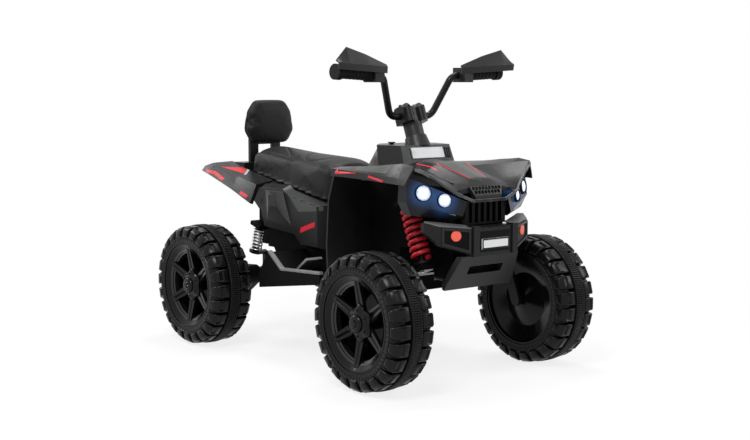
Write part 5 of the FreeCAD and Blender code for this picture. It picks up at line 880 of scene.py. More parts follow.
def pillar(mesh: bmesh.types.BMesh, place: Matrix, radius: float, height: float, sides: int, edge: float) -> None:
    """Add a bevelled stud along the place's Z axis.

    Args:
        mesh: Mesh that takes the stud.
        place: Where its foot is.
        radius: Radius in metres.
        height: Height in metres.
        sides: Number of sides.
        edge: Width of its rounded edge.
    """
    before = set(mesh.verts)
    foot = bmesh.ops.create_circle(mesh, cap_ends=True, radius=radius, segments=sides, matrix=Matrix.Identity(4))
    grown = bmesh.ops.extrude_face_region(mesh, geom=[foot["verts"][0].link_faces[0]])["geom"]
    bmesh.ops.translate(mesh, vec=(0, 0, height), verts=verts_of(grown))
    rim = [item for item in grown if isinstance(item, bmesh.types.BMEdge)]
    bmesh.ops.bevel(mesh, geom=rim, offset=edge, segments=2, profile=0.5, affect="EDGES", material=-1)
    bmesh.ops.transform(mesh, matrix=place, verts=verts_of(since(mesh, before)))


def inside(spot: Vector, outline: Sequence[Flat]) -> bool:
    """Whether a flat place in metres lies inside an outline in millimetres.

    Args:
        spot: The place.
        outline: Corners of the outline.

    Returns:
        True inside.
    """
    x, y = spot / MM
    held = False
    for (x0, y0), (x1, y1) in zip(outline, [*outline[1:], outline[0]]):
        if (y0 > y) != (y1 > y) and x < x0 + (x1 - x0) * (y - y0) / (y1 - y0):
            held = not held
    return held


def stripe(route: Sequence[Flat], width: float) -> list[Flat]:
    """Outline of a line of even width along a flat route.

    Args:
        route: Points along the middle.
        width: Width of the line.

    Returns:
        Corners of the outline.
    """
    points = [Vector(point) for point in route]
    near, far = [], []
    for place, point in enumerate(points):
        way = (points[min(place + 1, len(points) - 1)] - points[max(place - 1, 0)]).normalized()
        beside = Vector((-way.y, way.x)) * width / 2
        near.append(tuple(point + beside))
        far.append(tuple(point - beside))
    return near + far[::-1]


# Sub-assemblies
@dataclass
class Shell:
    """The rigid nodes, copied with rounded edges and dressed."""

    edge: float = 1.0 * MM
    sharp: float = 24.0
    edges: dict[str, float] = field(default_factory=lambda: {
        "hood": 1.6 * MM, "front_fender_right": 1.6 * MM, "front_fender_left": 1.6 * MM, "dash_console": 1.6 * MM,
        "front_bumper": 0.9 * MM, "bull_bar": 1.4 * MM, "hand_guards": 1.4 * MM, "rear_fender_right": 1.6 * MM,
        "rear_fender_left": 1.6 * MM, "seat_base": 1.5 * MM, "side_panels": 1.2 * MM, "footrest_trims": 0.7 * MM,
        "nose_grille": 0.5 * MM, "number_plate": 0.6 * MM, "dash_panel": 0.7 * MM, "headlamp_lenses": 0.4 * MM,
        "headlight_housings": 0.4 * MM, "front_fascia": 0.5 * MM, "front_axle_beam": 0.3 * MM,
        "front_shock_bodies": 0.3 * MM, "front_shock_rods": 0.3 * MM, "power_button": 1.9 * MM,
        "front_right_rim": 0.25 * MM, "front_left_rim": 0.25 * MM, "rear_right_rim": 0.25 * MM,
        "rear_left_rim": 0.25 * MM,
    })

    def build(self) -> None:
        """Copy and dress every rigid node."""
        for node, finish in CAD_FINISHES.items():
            mesh = softened(node, self.edges.get(node, self.edge), self.sharp)
            piece = deliver(mesh, f"{node}_shell", node_body(node), finish, [node])
            weigh_normals(piece)


@dataclass
class Wheel:
    """One wheel: tyre with lugs, traction band, hub cap, bolts and rim steps.

    Its sections are (across, radius) pairs in millimetres.
    """

    end: End
    side: Side
    half_track: float = 245.0
    half_base: float = 340.0
    radius: float = 150.0
    steps: int = 96
    carcass: Sequence[Flat] = (
        (14.2, 136.2), (15.4, 137.0), (38.2, 137.0), (45.2, 133.8), (49.3, 129.1), (51.6, 122.4), (51.8, 121.0),
        (53.2, 120.2), (53.4, 118.6), (52.4, 117.8), (52.7, 113.6), (52.3, 112.9), (52.4, 106.6), (53.4, 106.0),
        (53.2, 104.9), (50.6, 104.1))
    lug_count: int = 24
    lug_length: float = 32.0
    lug_root: float = 0.5
    lug_edge: float = 3.6
    lug_sharp: float = 34.0
    lug_section: Sequence[Flat] = (
        (16.0, 147.3), (29.0, 147.1), (42.0, 146.4), (51.5, 139.5), (56.0, 125.0), (52.0, 120.5), (44.0, 131.0),
        (36.0, 134.5), (16.0, 134.5))
    lug_heel: float = 124.0
    taper: tuple[float, float, float] = (37.0, 120.5, 146.4)
    crown: Flat = (29.0, 42.0)
    crown_area: float = 150.0
    crown_level: float = 0.95
    dimple: Flat = (3.6, 3.6)
    ridge_route: Sequence[Flat] = ((30.0, 136.6), (38.4, 136.6), (45.4, 133.2), (49.6, 128.4), (51.4, 123.4))
    ridge: Flat = (2.6, 2.4)
    ridge_top: float = 0.6
    tyre_smooth: float = 38.0
    rib: Spot = (1.6, 2.4, 5.6)
    rib_ring: Flat = (52.5, 115.6)
    rib_count: int = 72
    dot: Spot = (1.4, 1.6, 1.6)
    dot_ring: Flat = (52.3, 109.4)
    dot_count: int = 60
    band_steps: int = 540
    band_section: Sequence[Flat] = (
        (13.0, 137.1), (13.0, 148.2), (11.4, 149.8), (9.6, 149.8), (9.0, 148.4), (8.2, 148.4), (7.6, 150.0),
        (2.5, 150.0))
    band_groove: float = 148.0
    band_every: int = 3
    band_top: float = 149.5
    cap_section: Sequence[Flat] = (
        (43.6, 11.2), (43.6, 20.0), (47.6, 19.4), (50.8, 16.8), (52.0, 13.4), (52.0, 9.0), (54.6, 8.0), (55.0, 5.0),
        (55.0, 0.02), (53.0, 0.02), (51.0, 11.2))
    cap_steps: int = 72
    cap_lobe: float = 0.09
    lobe_start: float = 1.4
    flange: Sequence[Flat] = (
        (34.0, 18.4), (34.0, 36.4), (36.8, 37.4), (38.6, 35.6), (41.6, 28.0), (43.8, 22.0), (43.8, 18.4))
    steps_ring: Sequence[Flat] = (
        (43.6, 89.7), (40.6, 84.6), (38.4, 84.2), (36.6, 80.6), (24.0, 79.4), (20.0, 89.7))
    bolt_count: int = 6
    bolt: Spot = (40.0, 3.0, 4.6)
    bolt_ring: float = 28.0

    @property
    def label(self) -> str:
        """Name of the wheel."""
        return f"{self.end.name.lower()}_{self.side.word}"

    @property
    def body(self) -> str:
        """Body of the wheel."""
        return f"wheel_{self.label}"

    @property
    def rim_slot(self) -> str:
        """Material slot of the rim."""
        return SLOTS[f"{self.label}_rim"]

    def seat(self, mesh: bmesh.types.BMesh) -> None:
        """Move a mesh that is drawn about the origin, outer face to -X, to the wheel's place.

        Args:
            mesh: The mesh.
        """
        if self.side is Side.LEFT:
            bmesh.ops.scale(mesh, vec=(-1, 1, 1), verts=mesh.verts)
        bmesh.ops.translate(mesh, verts=mesh.verts,
                            vec=Vector((self.side.value * self.half_track, self.end.value * self.half_base,
                                        self.radius)) * MM)
        bmesh.ops.recalc_face_normals(mesh, faces=mesh.faces)

    def lug(self, mesh: bmesh.types.BMesh) -> list:
        """One lug of the outer row at the top of the wheel, with a dimple in its crown.

        Args:
            mesh: Mesh that takes the lug.

        Returns:
            The lug's geometry.
        """
        before = set(mesh.verts)
        length = Vector((0, self.lug_length * MM, 0))
        corners = [mesh.verts.new(Vector((-x * MM, 0, r * MM)) - length / 2) for x, r in self.lug_section]
        grown = bmesh.ops.extrude_face_region(mesh, geom=[mesh.faces.new(corners)])["geom"]
        bmesh.ops.translate(mesh, vec=length, verts=verts_of(grown))
        outer, foot, shoulder = self.taper
        for vert in verts_of(since(mesh, before)):
            if abs(vert.co.x) > outer * MM:
                share = min(max((vert.co.z / MM - foot) / (shoulder - foot), 0.0), 1.0)
                vert.co.y *= self.lug_root + (1 - self.lug_root) * share
        shape = since(mesh, before)
        bmesh.ops.recalc_face_normals(mesh, faces=[item for item in shape if isinstance(item, bmesh.types.BMFace)])
        sunk = (self.carcass[1][1] - 1) * MM
        rounded = [item for item in shape if isinstance(item, bmesh.types.BMEdge)
                   and item.calc_face_angle(0.0) > math.radians(self.lug_sharp)
                   and all(vert.co.z > self.lug_heel * MM for vert in item.verts)
                   and not all(vert.co.z < sunk and abs(vert.co.x) < self.lug_section[3][0] * MM
                               for vert in item.verts)]
        bmesh.ops.bevel(mesh, geom=rounded, offset=self.lug_edge * MM, segments=3, profile=0.5, affect="EDGES",
                        material=-1, clamp_overlap=True)
        crown = [item for item in since(mesh, before)
                 if isinstance(item, bmesh.types.BMFace) and item.normal.z > self.crown_level
                 and -self.crown[1] * MM < item.calc_center_median().x < -self.crown[0] * MM
                 and item.calc_area() > self.crown_area * MM * MM]
        bmesh.ops.inset_region(mesh, faces=crown, thickness=self.dimple[0] * MM, depth=-self.dimple[1] * MM,
                               use_even_offset=True)
        return since(mesh, before)

    def slot_ridge(self, mesh: bmesh.types.BMesh) -> list:
        """A low ridge down the shoulder, half way between two lugs.

        Args:
            mesh: Mesh that takes the ridge.

        Returns:
            The ridge's geometry.
        """
        half, height = self.ridge[0] / 2 * MM, self.ridge[1] * MM
        top = half * self.ridge_top
        section = [Vector((0, -half, -MM)), Vector((0, half, -MM)), Vector((0, top, height)), Vector((0, -top, height))]
        strip = sweep(mesh, [Vector((-x * MM, 0, r * MM)) for x, r in self.ridge_route], section)
        bmesh.ops.rotate(mesh, cent=(0, 0, 0), matrix=Matrix.Rotation(math.pi / self.lug_count, 3, "X"),
                         verts=verts_of(strip))
        return strip

    def studs(self, mesh: bmesh.types.BMesh, size: Spot, place: Flat, count: int) -> None:
        """A ring of small blocks on both sidewalls.

        Args:
            mesh: Mesh that takes them.
            size: Size of a block across, along and up the wheel.
            place: Where they stand, as a distance across and a radius.
            count: How many.
        """
        for hand in (-1, 1):
            before = set(mesh.verts)
            made = bmesh.ops.create_cube(mesh, size=1.0)["verts"]
            bmesh.ops.scale(mesh, vec=Vector(size) * MM, verts=made)
            bmesh.ops.translate(mesh, vec=(hand * place[0] * MM, 0, place[1] * MM), verts=made)
            around(mesh, since(mesh, before), count)

    def tyre(self) -> None:
        """Carcass with sidewall rings, ribs and dots, and two staggered rows of lugs."""
        mesh = bmesh.new()
        ring(mesh, [(-x, r) for x, r in self.carcass] + [(x, r) for x, r in reversed(self.carcass)], self.steps)
        for make in (self.lug, self.slot_ridge):
            for hand in (1, -1):
                row = make(mesh)
                if hand < 0:
                    bmesh.ops.scale(mesh, vec=(-1, 1, 1), verts=verts_of(row))
                    bmesh.ops.rotate(mesh, cent=(0, 0, 0), matrix=Matrix.Rotation(math.pi / self.lug_count, 3, "X"),
                                     verts=verts_of(row))
                around(mesh, row, self.lug_count)
        self.studs(mesh, self.rib, self.rib_ring, self.rib_count)
        self.studs(mesh, self.dot, self.dot_ring, self.dot_count)
        self.seat(mesh)
        node = f"{self.label}_tyre"
        deliver(mesh, f"{self.label}_lugged_tyre", self.body, TYRE, [node], self.tyre_smooth)

    def band(self) -> None:
        """Traction band with edge grooves and fine cross ribs."""
        mesh = bmesh.new()
        half = self.band_section
        verts = ring(mesh, [(-x, r) for x, r in half] + [(x, r) for x, r in reversed(half)], self.band_steps)
        for vert in verts:
            turn = round(math.atan2(vert.co.y, vert.co.z) / (2 * math.pi) * self.band_steps)
            if turn % self.band_every == 0 and math.hypot(vert.co.y, vert.co.z) > self.band_top * MM:
                vert.co.yz = vert.co.yz * (self.band_groove / self.radius)
        self.seat(mesh)
        node = f"{self.label}_traction_band"
        deliver(mesh, f"{self.label}_ribbed_band", self.body, BAND, [node])

    def hub_cap(self) -> None:
        """Hub cap on a lobed flange."""
        mesh = bmesh.new()
        ring(mesh, [(-x, r) for x, r in self.cap_section], self.cap_steps)
        for vert in ring(mesh, [(-x, r) for x, r in self.flange], self.cap_steps):
            lobe = 1 + self.cap_lobe * math.cos(self.bolt_count * math.atan2(vert.co.y, vert.co.z))
            if math.hypot(vert.co.y, vert.co.z) > self.flange[0][1] * self.lobe_start * MM:
                vert.co.yz = vert.co.yz * lobe
        self.seat(mesh)
        deliver(mesh, f"{self.label}_hub_cap", self.body, RIM)

    def rim_steps(self) -> None:
        """Steps inside the rim's lip."""
        mesh = bmesh.new()
        ring(mesh, [(-x, r) for x, r in self.steps_ring], self.steps)
        self.seat(mesh)
        deliver(mesh, f"{self.label}_rim_steps", self.body, LIP)

    def hub_bolts(self) -> None:
        """Ring of bolts on the flange."""
        mesh = bmesh.new()
        across, radius, height = self.bolt
        outward = Matrix.Rotation(-math.pi / 2, 4, "Y")
        for place in range(self.bolt_count):
            turn = Matrix.Rotation(place * 2 * math.pi / self.bolt_count, 4, "X")
            foot = turn @ Matrix.Translation((-across * MM, 0, self.bolt_ring * MM)) @ outward
            pillar(mesh, foot, radius * MM, height * MM, BOLT_SIDES, radius * BOLT_EDGE * MM)
        self.seat(mesh)
        deliver(mesh, f"{self.label}_hub_bolts", self.body, BLACK_STEEL)

    def build(self) -> None:
        """Build the wheel's pieces."""
        self.tyre()
        self.band()
        self.hub_cap()
        self.rim_steps()
        self.hub_bolts()


@dataclass(frozen=True)
class CoilSize:
    """Sizes of one pair of coil springs, in millimetres, and what shortens them."""

    label: str
    node: str
    foot: Spot
    axis: Spot
    radius: float
    wire: float
    pitch: float
    turns: int
    lift: float
    height: float
    joint: str
    keep: float
    finish: Metal


@dataclass
class Springs:
    """The four coil springs."""

    sizes: Sequence[CoilSize] = (
        CoilSize("front", "front_springs", (-101.0, -335.8, 264.1), (0, 0.358368, 0.93358), 18.0, 5.0, 14.5, 8, 6.57,
                 129.1, "front_suspension", 0.907, RED_STEEL),
        CoilSize("rear", "rear_springs", (-101.0, 318.0, 225.0), (0, -0.2924, 0.9563), 13.0, 2.2, 8.6, 7, 3.0, 66.1,
                 "rear_suspension", 0.81, BRIGHT_STEEL))
    steps: int = 28
    facets: int = 12

    def wind(self, size: CoilSize, side: Side) -> None:
        """Wind one spring and seat it on its foot.

        Args:
            size: Sizes of the pair.
            side: Side of the vehicle.
        """
        mesh = bmesh.new()
        start = bmesh.ops.create_circle(mesh, radius=size.wire * MM, segments=self.facets, matrix=(
            Matrix.Translation((size.radius * MM, 0, size.lift * MM)) @ Matrix.Rotation(math.pi / 2, 4, "X")))["verts"]
        edges = list({edge for vert in start for edge in vert.link_edges})
        bmesh.ops.spin(mesh, geom=start + edges, cent=(0, 0, 0), axis=(0, 0, 1),
                       dvec=Vector((0, 0, size.pitch * MM / self.steps)), angle=-2 * math.pi * size.turns * side.value,
                       steps=self.steps * size.turns)
        bmesh.ops.holes_fill(mesh, edges=mesh.edges, sides=self.facets)
        bmesh.ops.remove_doubles(mesh, verts=mesh.verts, dist=JOIN)
        bmesh.ops.recalc_face_normals(mesh, faces=mesh.faces)
        axis, foot = Vector(size.axis), side.turn(size.foot)
        turn = axis.to_track_quat("Z", "X").to_matrix().to_4x4()
        bmesh.ops.transform(mesh, matrix=Matrix.Translation(foot) @ turn, verts=mesh.verts)
        piece = deliver(mesh, f"{size.label}_{side.word}_spring", node_body(size.node), size.finish,
                        [size.node])
        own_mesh(piece)

    def build(self) -> None:
        """Wind both pairs."""
        for size in self.sizes:
            for side in Side:
                self.wind(size, side)


@dataclass
class Cushion:
    """A padded piece: a node's form, shrunk, puffed up by cloth pressure and sewn.

    Seams and quilted fields are flat outlines in millimetres, (x, y) on a pad that faces up and (x, z) on one that
    faces forwards.
    """

    name: str
    node: str
    facing: Vector
    inset: float
    voxel: float
    cap: float
    fill: float
    seams: Sequence[Sequence[Flat]] = ()
    quilts: Sequence[Sequence[Flat]] = ()
    waist: float | None = None
    seam_depth: float = 2.6 * MM
    seam_width: float = 3.4 * MM
    pressure: float = 4.0
    frames: int = 20
    stitch_gap: float = 7.0 * MM
    stitch: Spot = (4.4 * MM, 1.0 * MM, 0.9 * MM)
    stitch_top: Spot = (0.7, 0.6, 1.0)
    under: float = -0.4
    under_share: float = 0.12
    seam_facing: Flat = (0.25, 0.4)
    quilt_facing: float = 0.3
    waist_facing: float = 0.75
    stitch_facing: float = 0.4
    cloth_quality: int = 5
    smooth: float = 180.0

    @property
    def upright(self) -> bool:
        """Whether the padded face looks up."""
        return abs(self.facing.z) > 0.5

    def bake(self, piece: bpy.types.Object) -> None:
        """Apply a piece's modifiers to its mesh.

        Args:
            piece: The piece.
        """
        view = bpy.context.evaluated_depsgraph_get()
        data = bpy.data.meshes.new_from_object(piece.evaluated_get(view))
        piece.modifiers.clear()
        piece.data = data

    def puff(self, piece: bpy.types.Object) -> None:
        """Let cloth pressure fill the pad, with a cap on how far it swells and less on its underside.

        Args:
            piece: The pad, still flat.
        """
        start = [(vert.co.copy(), vert.normal.copy()) for vert in piece.data.vertices]
        cloth = piece.modifiers.new("cloth", "CLOTH")
        cloth.settings.use_pressure = True
        cloth.settings.uniform_pressure_force = self.pressure
        cloth.settings.effector_weights.gravity = 0.0
        cloth.settings.quality = self.cloth_quality
        scene = bpy.context.scene
        for number in range(1, self.frames + 1):
            scene.frame_set(number)
        view = bpy.context.evaluated_depsgraph_get()
        puffed = [vert.co.copy() for vert in piece.evaluated_get(view).data.vertices]
        piece.modifiers.clear()
        scene.frame_set(1)
        for vert, (old, normal), new in zip(piece.data.vertices, start, puffed):
            move = new - old
            limit = self.cap * (self.under_share if normal.dot(self.facing) < self.under else 1.0)
            vert.co = old + move * (min(move.length, limit) / max(move.length, 1e-9))

    def flat(self, point: Vector) -> Vector:
        """A point as seen along the padded face's direction."""
        return Vector((point.x, point.y)) if self.upright else Vector((point.x, point.z))

    def nearest(self, spot: Vector) -> float:
        """Distance in metres from a flat spot to the nearest seam.

        Args:
            spot: The spot.

        Returns:
            The distance, 1 at most.
        """
        best = 1.0
        for seam in self.seams:
            for first, second in zip(seam, seam[1:]):
                a, b = Vector(first) * MM, Vector(second) * MM
                share = min(max((spot - a).dot(b - a) / (b - a).length_squared, 0.0), 1.0)
                best = min(best, (spot - a - (b - a) * share).length)
        return best

    def pull(self, point: Vector, normal: Vector) -> float:
        """How far a point is drawn in by a seam or the waist, from 0 to 1.

        Args:
            point: The point.
            normal: Direction of the surface there.

        Returns:
            The share of the seam's depth.
        """
        towards = normal.dot(self.facing)
        top = min(max((towards - self.seam_facing[0]) / self.seam_facing[1], 0.0), 1.0)
        drawn = math.exp(-(self.nearest(self.flat(point)) / self.seam_width) ** 2) * top if top > 0 else 0.0
        if self.waist is not None and abs(towards) < self.waist_facing:
            away = point.dot(self.facing) - self.waist
            drawn = max(drawn, math.exp(-(away / self.seam_width) ** 2))
        return drawn

    def sew(self, piece: bpy.types.Object) -> None:
        """Draw the pad in along its seams and mark seams and quilted fields for the finish.

        Args:
            piece: The pad.
        """
        seam = piece.data.attributes.new("seam", "FLOAT", "POINT")
        quilt = piece.data.attributes.new("quilt", "FLOAT", "POINT")
        points = [(vert.co.copy(), vert.normal.copy()) for vert in piece.data.vertices]
        for number, (point, normal) in enumerate(points):
            drawn = self.pull(point, normal)
            piece.data.vertices[number].co = point - normal * self.seam_depth * drawn
            seam.data[number].value = drawn * drawn
            held = normal.dot(self.facing) > self.quilt_facing and any(
                inside(self.flat(point), outline) for outline in self.quilts)
            quilt.data[number].value = float(held)

    def stitches(self, piece: bpy.types.Object) -> None:
        """Lay a row of thread stitches on each side of each seam.

        Args:
            piece: The sewn pad.
        """
        tree = BVHTree.FromPolygons([v.co for v in piece.data.vertices], [p.vertices for p in piece.data.polygons])
        mesh = bmesh.new()
        for seam in self.seams:
            for first, second in zip(seam, seam[1:]):
                a, b = Vector(first) * MM, Vector(second) * MM
                along = (b - a).normalized()
                beside = Vector((-along.y, along.x)) * self.seam_width
                count = max(int((b - a).length / self.stitch_gap), 1)
                for place in range(count):
                    for hand in (-1, 1):
                        self.thread(mesh, tree, a + (b - a) * ((place + 0.5) / count) + beside * hand, along)
        fit(mesh, f"{self.name}_stitches", self.node, THREAD)

    def thread(self, mesh: bmesh.types.BMesh, tree: BVHTree, spot: Vector, along: Vector) -> None:
        """Lay one stitch.

        Args:
            mesh: Mesh that takes the stitch.
            tree: Surface of the pad.
            spot: Flat place of the stitch.
            along: Flat direction of its seam.
        """
        source = Vector((spot.x, spot.y, 1.0)) if self.upright else Vector((spot.x, -1.0, spot.y))
        hit, normal, _, _ = tree.ray_cast(source, -self.facing)
        if hit is None or normal.dot(self.facing) < self.stitch_facing:
            return
        way = Vector((along.x, along.y, 0)) if self.upright else Vector((along.x, 0, along.y))
        way = (way - normal * way.dot(normal)).normalized()
        turn = Matrix((way, normal.cross(way), normal)).transposed().to_4x4()
        made = bmesh.ops.create_cube(mesh, size=1.0)["verts"]
        bmesh.ops.scale(mesh, vec=self.stitch, verts=made)
        bmesh.ops.scale(mesh, vec=self.stitch_top, verts=[vert for vert in made if vert.co.z > 0])
        bmesh.ops.transform(mesh, matrix=Matrix.Translation(hit) @ turn, verts=made)

    def build(self) -> None:
        """Build the pad and its stitches."""
        mesh = merged(self.node)
        low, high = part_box(self.node)
        centre, size = (low + high) / 2, high - low
        bmesh.ops.translate(mesh, vec=-centre, verts=mesh.verts)
        bmesh.ops.scale(mesh, vec=[(edge - 2 * self.inset) / edge for edge in size], verts=mesh.verts)
        bmesh.ops.translate(mesh, vec=centre, verts=mesh.verts)
        piece = deliver(mesh, self.name, node_body(self.node), VINYL, [self.node], self.smooth)
        remesh = piece.modifiers.new("remesh", "REMESH")
        remesh.mode = "VOXEL"
        remesh.voxel_size = self.voxel
        self.bake(piece)
        self.puff(piece)
        smoothed = piece.modifiers.new("round", "SUBSURF")
        smoothed.levels = smoothed.render_levels = 1
        self.bake(piece)
        self.sew(piece)
        piece.data.shade_smooth()
        piece.data.materials.clear()
        piece.data.materials.append(Paints.of(VINYL))
        if self.seams:
            self.stitches(piece)


@dataclass
class Seat:
    """The long seat, with an oval and a tail of quilting, and the backrest with a welt round its edge."""

    oval_centre: Flat = (0.0, 140.0)
    oval_half: Flat = (58.0, 55.0)
    oval_points: int = 28
    field_share: float = 0.94
    tail_seam: Sequence[Flat] = (
        (47.0, 376.0), (52.0, 300.0), (57.0, 217.0), (0.0, 317.0), (-57.0, 217.0), (-52.0, 300.0), (-47.0, 376.0))
    tail_field: Sequence[Flat] = (
        (45.0, 380.0), (48.0, 300.0), (47.0, 242.0), (0.0, 324.0), (-47.0, 242.0), (-48.0, 300.0), (-45.0, 380.0))

    def oval(self, share: float) -> list[Flat]:
        """The oval's outline, scaled by a share.

        Args:
            share: Share of the full oval.

        Returns:
            Its points, the first one again at the end.
        """
        turns = [2 * math.pi * place / self.oval_points for place in range(self.oval_points + 1)]
        return [(self.oval_centre[0] + self.oval_half[0] * share * math.cos(turn),
                 self.oval_centre[1] + self.oval_half[1] * share * math.sin(turn)) for turn in turns]

    def build(self) -> None:
        """Build both pads."""
        Cushion("seat_pad", "seat_cushion", Vector((0, 0, 1)), inset=3.0 * MM, voxel=5.0 * MM, cap=6.0 * MM, fill=0.8,
                seams=[self.oval(1.0), self.tail_seam],
                quilts=[self.oval(self.field_share), self.tail_field]).build()
        low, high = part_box("backrest_cushion")
        Cushion("back_pad", "backrest_cushion", Vector((0, -1, 0)), inset=2.5 * MM, voxel=4.0 * MM, cap=5.0 * MM,
                fill=0.8, waist=-(low.y + high.y) / 2).build()


@dataclass(frozen=True)
class Patch:
    """One film: its outline in millimetres on the right side, (x, y) from above or (y, z) from the side."""

    name: str
    node: str
    view: View
    finish: Film
    outline: Sequence[Flat]
    paired: bool = True


@dataclass
class Stickers:
    """Printed film laid on the body panels, and one pale strip that is a painted highlight."""

    cell: float = 6.0 * MM
    lift: float = 0.35 * MM
    thickness: float = 0.3 * MM
    start: float = 2.0
    tear: float = 4.0
    near: float = 1e-7
    smooth: float = 30.0
    patches: Sequence[Patch] = (
        Patch("hood_outer_line", "hood", View.TOP, RED_FILM, stripe([(-52, -257), (-60, -337)], 3.4)),
        Patch("hood_inner_line", "hood", View.TOP, RED_FILM, stripe([(-42.6, -312), (-28.8, -376), (-24, -404)], 3.4)),
        Patch("hood_field", "hood", View.TOP, MOSS_FILM,
              ((-38, -300), (38, -300), (27, -370), (22, -408), (-22, -408), (-27, -370)), False),
        Patch("fender_bar", "front_fender_{side}", View.SIDE, RED_FILM,
              ((-138, 451), (-138, 462.5), (-212, 461), (-212, 456))),
        Patch("fender_line", "front_fender_{side}", View.SIDE, RED_FILM, stripe([(-257, 452), (-317, 442.5)], 4.5)),
        Patch("fender_field", "front_fender_{side}", View.TOP, MOSS_FILM,
              ((-166, -190), (-184, -200), (-184, -310), (-170, -318), (-165, -250))),
        Patch("rear_wedge", "rear_fender_{side}", View.TOP, RED_FILM,
              ((-137, 425), (-86, 398), (-84, 384), (-109, 357), (-118, 380))),
        # Painted highlight along the fender's inner edge
        Patch("rear_pale_edge", "rear_fender_{side}", View.TOP, EDGE_HIGHLIGHT_FILM,
              ((-84, 381), (-115, 350), (-108, 348), (-82, 372))),
        Patch("rear_stripe", "rear_fender_{side}", View.SIDE, RED_FILM,
              stripe([(470, 424.6), (435, 420.8), (395, 405)], 8.0)),
        Patch("rear_stripe_end", "rear_fender_{side}", View.SIDE, RED_FILM,
              stripe([(318, 377), (307, 374), (288, 368)], 8.0)),
        Patch("side_field", "side_panels", View.SIDE, MOSS_FILM,
              ((131, 384), (30, 366), (4, 362), (4, 352), (89, 344))),
        Patch("side_stripe", "side_panels", View.SIDE, RED_FILM, ((81, 293), (79, 306), (22, 324.7), (22, 312.8))),
    )

    def sheet(self, patch: Patch, side: Side) -> bmesh.types.BMesh:
        """A flat film, clear of the object and cut into cells.

        Args:
            patch: The film.
            side: Side that it is laid on.

        Returns:
            The flat mesh.
        """
        above = patch.view is View.TOP
        mesh = bmesh.new()
        corners = []
        for a, b in patch.outline:
            place = (-side.value * a * MM, b * MM, self.start) if above else (self.start * side.value, a * MM, b * MM)
            corners.append(mesh.verts.new(place))
        mesh.faces.new(corners)
        for way in ((0, 1) if above else (1, 2)):
            low = min(vert.co[way] for vert in mesh.verts)
            high = max(vert.co[way] for vert in mesh.verts)
            normal = Vector((0, 0, 0))
            normal[way] = 1.0
            for cut in range(1, int((high - low) / self.cell) + 1):
                bmesh.ops.bisect_plane(mesh, geom=mesh.verts[:] + mesh.edges[:] + mesh.faces[:], dist=self.near,
                                       plane_co=normal * (low + cut * self.cell), plane_no=normal)
        return mesh

    def lay(self, patch: Patch, side: Side) -> None:
        """Press one film on its panel.

        Args:
            patch: The film.
            side: Side that it is laid on.
        """
        node = patch.node.format(side=side.word)
        axis = Vector((0, 0, -1)) if patch.view is View.TOP else Vector((-side.value, 0, 0))
        tree = surface(node)
        mesh = self.sheet(patch, side)
        missed = []
        for vert in mesh.verts:
            hit, _, _, _ = tree.ray_cast(vert.co, axis)
            if hit is None:
                missed.append(vert)
            else:
                vert.co = hit - axis * self.lift
        bmesh.ops.delete(mesh, geom=missed, context="VERTS")
        torn = [face for face in mesh.faces
                if max(edge.calc_length() for edge in face.edges) > self.tear * self.cell]
        bmesh.ops.delete(mesh, geom=torn, context="FACES")
        bmesh.ops.recalc_face_normals(mesh, faces=mesh.faces)
        if sum(face.normal.dot(axis) * face.calc_area() for face in mesh.faces) > 0:
            bmesh.ops.reverse_faces(mesh, faces=mesh.faces)
        bmesh.ops.solidify(mesh, geom=mesh.faces[:], thickness=self.thickness)
        name = f"{patch.name}_{side.word}" if patch.paired else patch.name
        deliver(mesh, name, node_body(node), patch.finish, (), self.smooth)

    def build(self) -> None:
        """Lay all the films."""
        for patch in self.patches:
            for side in (Side if patch.paired else (Side.RIGHT,)):
                self.lay(patch, side)


